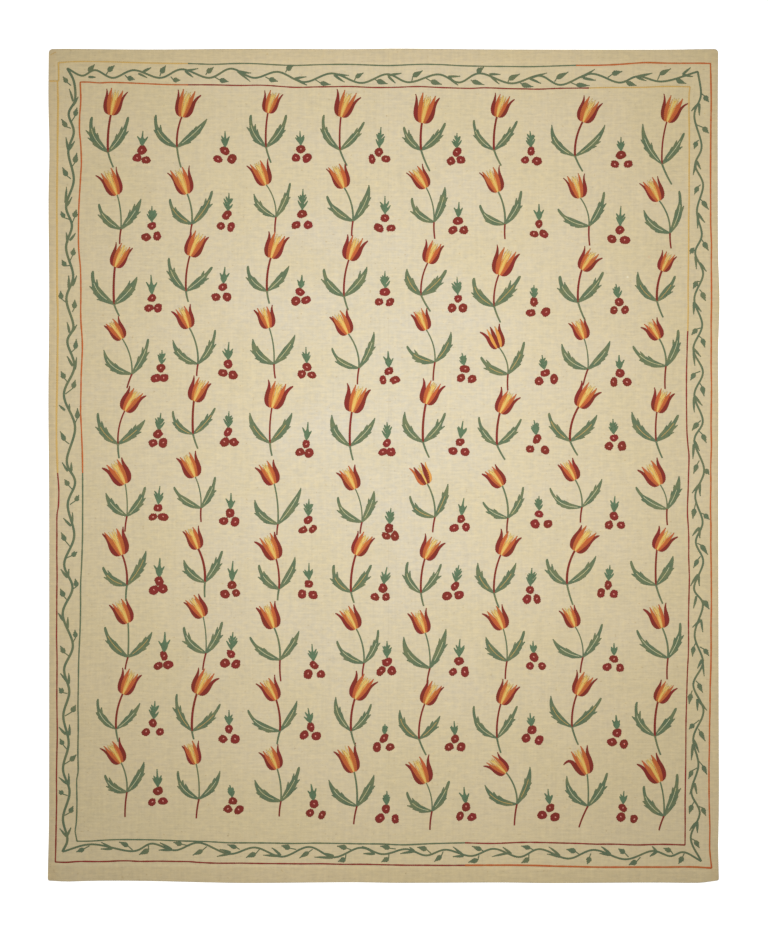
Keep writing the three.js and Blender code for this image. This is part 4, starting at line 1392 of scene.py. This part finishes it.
def sew_berry(middle):
    """A berry: a low round pad, rings of stitches and a pale centre, a little lumpy."""
    angles = np.linspace(0, 2 * math.pi, BERRY_SIDES, endpoint=False)
    stretch = needle.uniform(0.02, 0.18)
    stretch_way = needle.normal(0.5, 0.7)
    lumps = 1 + stretch * np.cos(2 * (angles - stretch_way)) + needle.normal(0, 0.06, BERRY_SIDES)
    radius = BERRY_RADIUS * needle.uniform(0.9, 1.1) * lumps
    ground = float(cloth_height(*middle))
    patch = work_of("berries")
    start = len(patch["points"])
    for inset, height in ((0.0, ground - PAD_SUNK), (CHAMFER, ground + PAD_HEIGHT)):
        for angle, r in zip(angles, radius):
            patch["points"].append((middle[0] + (r - inset) * math.cos(angle),
                                    middle[1] + (r - inset) * math.sin(angle), height))
    for i in range(BERRY_SIDES):
        j = (i + 1) % BERRY_SIDES
        patch["faces"].append((start + i, start + j, start + BERRY_SIDES + j, start + BERRY_SIDES + i))
    patch["faces"].append(tuple(start + BERRY_SIDES + i for i in range(BERRY_SIDES)))
    patch["faces"].append(tuple(start + i for i in reversed(range(BERRY_SIDES))))
    for inset in RING_INSETS:
        ring = [middle + (r - inset) * np.array([math.cos(a), math.sin(a)])
                for a, r in zip(list(angles) + [0.0], list(radius) + [radius[0]])]
        sew_row("berries", np.array(ring))
    way = turn((1, 0), needle.uniform(0, 180))
    centre = middle + needle.normal(0, 0.8, 2)
    ends = np.array([centre - way * CENTRE_HALF, centre + way * CENTRE_HALF])
    sew_row("berry_centres", ends, CENTRE_FULLNESS, lift=TOP_LIFT)


def sew_sprig(foot, tip):
    """The small green sprig on a cluster: a spike with pointed leaflets to both sides."""
    up = tip - foot
    length = float(np.hypot(*up))
    path = bezier([foot, foot + up * 0.5 + turn(up, 90) * needle.uniform(-0.04, 0.04), tip], 12)
    kind = SPRIG_KINDS[int(needle.integers(len(SPRIG_KINDS)))]
    width = profile(kind["spike"], len(path)) * kind["half"] * needle.uniform(0.9, 1.12)
    sew_shape("sprigs", path, width, width, lift=0.04)
    for share, usual in kind["pairs"]:
        for side in (1, -1):
            base = foot + up * (share + needle.uniform(-0.04, 0.05))
            way = unit(turn(up, side * needle.uniform(32, 43)))
            reach = usual * needle.uniform(0.85, 1.1) * min(1.1, length / SPRIG_USUAL)
            leaflet = bezier([base, base + way * reach * 0.6, base + way * reach + unit(up) * 3.0], 5)
            leaflet_half = profile(LEAFLET, len(leaflet)) * LEAFLET_HALF
            sew_shape("sprigs", leaflet, leaflet_half, leaflet_half, lift=0.1)


for clusters in BERRIES:
    for cluster in clusters:
        top_berry, left_berry, right_berry, sprig_tip = [on_cloth(*place) for place in cluster]
        for middle in (top_berry, left_berry, right_berry):
            sew_berry(middle)
        up = unit(sprig_tip - top_berry)
        sew_sprig(top_berry + up * (BERRY_RADIUS - 2.0), sprig_tip)
print("clusters sewn:", sum(len(row) for row in BERRIES))

# %% [markdown]
# ## Dyed wool
# The yarn is two-ply wool, dyed by hand, so a colour drifts within a motif as one dye lot gives way to the
# next, the greens most of all. Wool is matt with a slight bloom. Each stitch has a tone of its own, and fine
# fibre streaks that lie 1 to 2 mm apart roughen its face.

# %% Wool materials
FIBRE_MM = 1.6
# name: deep tone, light tone, the tone it drifts to, and the size of the drift in millimetres
WOOLS = {
    "madder_red_wool": ("#65271e", "#86362a", "#7c2b28", 70),
    "brick_red_wool": ("#6e2a21", "#903c30", "#86302c", 70),
    "russet_wool": ("#a25429", "#b96e3c", "#b25a32", 60),
    "rust_red_wool": ("#9e5028", "#b76b3c", "#b05632", 60),
    "orange_wool": ("#bd8238", "#d19c54", "#c07c3c", 50),
    "gold_wool": ("#c29b52", "#d2b066", "#caa85a", 50),
    "mustard_wool": ("#b59355", "#ccab6c", "#bf9f5c", 90),
    "pale_yellow_wool": ("#c4ab66", "#d2bb7a", "#cab068", 40),
    "leaf_green_wool": ("#4b5a43", "#6a785b", "#6b7150", 38),
    "sprig_green_wool": ("#465a42", "#65785a", "#5c7256", 38),
    "vine_green_wool": ("#4d5a43", "#6a775c", "#686e50", 55),
    "cream_wool": ("#b4b38c", "#d0cba6", "#c0b480", 60),
    "pink_wool": ("#c47a6c", "#d89c8c", "#cc8474", 60),
}


def wool_material(name, deep, light, drift, drift_mm):
    """A matt yarn whose colour goes by stitch, by fibre and slowly by dye lot."""
    material, tree, shader, place = new_material(name, 0.92, 0.15)
    # Each stitch's random tone, and on the filling a painted shade in the gaps between loops.
    stitch_tone = add_node(tree, "ShaderNodeAttribute", attribute_name="stitch_tone").outputs["Fac"]
    fibre = noise_over(tree, place, FIBRE_MM, FIBRE_MM * 2.4, detail=2.0)
    lot = noise_over(tree, place, drift_mm, drift_mm * 0.8, detail=2.0, shift=4.4)
    share = calculate(tree, "ADD", calculate(tree, "MULTIPLY", stitch_tone, 0.75),
                      reshape(tree, fibre, 0.3, 0.7, -0.15, 0.25))
    colour = blend_colours(tree, share, linear(deep), linear(light))
    colour = blend_colours(tree, reshape(tree, lot, 0.42, 0.62, 0.0, 0.8), colour, linear(drift))
    tree.links.new(colour, shader.inputs["Base Color"])
    bump = add_node(tree, "ShaderNodeBump", {"Height": fibre, "Strength": 0.4, "Distance": 0.0004})
    tree.links.new(bump.outputs[0], shader.inputs["Normal"])
    return material


wools = {name: wool_material(name, *dyes) for name, dyes in WOOLS.items()}
print("wools:", ", ".join(wools))

# %% [markdown]
# ## Sewing it all
# Each gathered piece now goes through the sewing tree. Its rows become a curve object and its filling a mesh,
# the tree lays the stitches, and the result is kept as a plain mesh. Then the helpers are thrown away.

# %% From gathered rows to finished needlework
NEEDLEWORK = {
    "gold_lines": ("mustard_wool", "gold_yarn"),
    "green_lines": ("vine_green_wool", "vine_green_yarn"),
    "rust_lines": ("russet_wool", "rust_yarn"),
    "dark_red_lines": ("brick_red_wool", "dark_red_yarn"),
    "pale_yellow_lines": ("mustard_wool", "pale_yellow_yarn"),
    "vine": ("vine_green_wool", "vine_green_yarn"),
    "vine_leaves": ("vine_green_wool", "vine_green_yarn"),
    "dark_red_stems": ("madder_red_wool", "dark_red_yarn"),
    "green_stems": ("leaf_green_wool", "leaf_green_yarn"),
    "left_leaves": ("leaf_green_wool", "leaf_green_yarn"),
    "right_leaves": ("leaf_green_wool", "leaf_green_yarn"),
    "cream_ribs": ("cream_wool", "cream_yarn"),
    "gold_ribs": ("mustard_wool", "gold_yarn"),
    "dark_red_petals": ("madder_red_wool", "dark_red_yarn"),
    "rust_petals": ("rust_red_wool", "rust_yarn"),
    "orange_petals": ("orange_wool", "orange_yarn"),
    "gold_petals": ("gold_wool", "gold_yarn"),
    "pale_yellow_petals": ("pale_yellow_wool", "pale_yellow_yarn"),
    "berries": ("madder_red_wool", "dark_red_yarn"),
    "berry_centres": ("pink_wool", "pink_yarn"),
    "sprigs": ("sprig_green_wool", "leaf_green_yarn"),
}
STITCH_UNEVENNESS = 0.12


def curves_of(name, rows):
    """The rows of a piece as one curve object, with each point's fullness as its radius."""
    curve = bpy.data.curves.new(name, "CURVE")
    curve.dimensions = "3D"
    for row in rows:
        line = curve.splines.new("POLY")
        line.points.add(len(row) - 1)
        places = np.column_stack([row[:, :3] * MM, np.ones(len(row))])
        line.points.foreach_set("co", places.ravel())
        line.points.foreach_set("radius", row[:, 3])
    return link_new(name, curve)


def sewn_piece(name, wool, seed):
    """One finished piece: its filling with the stitches laid over it, as a plain mesh."""
    rows_object = curves_of(name + "_rows", work[name]["rows"])
    filling = bpy.data.meshes.new(name + "_filling")
    filling_points = np.array(work[name]["points"]).reshape(-1, 3) * MM
    filling.from_pydata(filling_points.tolist(), [], work[name]["faces"])
    face_outwards(filling)
    piece = link_new(name, filling)
    modifier = piece.modifiers.new("sewing", "NODES")
    modifier.node_group = sewing
    values = {"Stitch": chain_loop, "Rows": rows_object, "Stitch Length": STITCH_LENGTH * MM,
              "Stitch Width": STITCH_WIDTH * MM, "Stitch Height": STITCH_HEIGHT * MM,
              "Unevenness": STITCH_UNEVENNESS, "Seed": seed, "Wool": wool}
    for item in sewing.interface.items_tree:
        if item.name in values:
            modifier[item.identifier] = values[item.name]
    bpy.context.view_layer.update()
    seen = piece.evaluated_get(bpy.context.evaluated_depsgraph_get())
    finished = bpy.data.meshes.new_from_object(seen)
    piece.modifiers.clear()
    piece.data = finished
    finished.name = name
    bpy.data.objects.remove(rows_object)
    return piece


triangles = 0
for seed, (name, (wool, slot)) in enumerate(NEEDLEWORK.items()):
    piece = sewn_piece(name, wools[wool], seed)
    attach(piece, "root")
    count = sum(len(face.vertices) - 2 for face in piece.data.polygons)
    triangles += count
    print(name, count, "triangles,", len(work[name]["rows"]), "rows")
bpy.data.objects.remove(chain_loop)
print("needlework in all:", triangles, "triangles")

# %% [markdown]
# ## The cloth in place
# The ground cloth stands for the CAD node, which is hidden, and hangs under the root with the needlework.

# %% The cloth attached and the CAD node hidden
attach(ground_cloth, "root")
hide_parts("kilim_cloth")
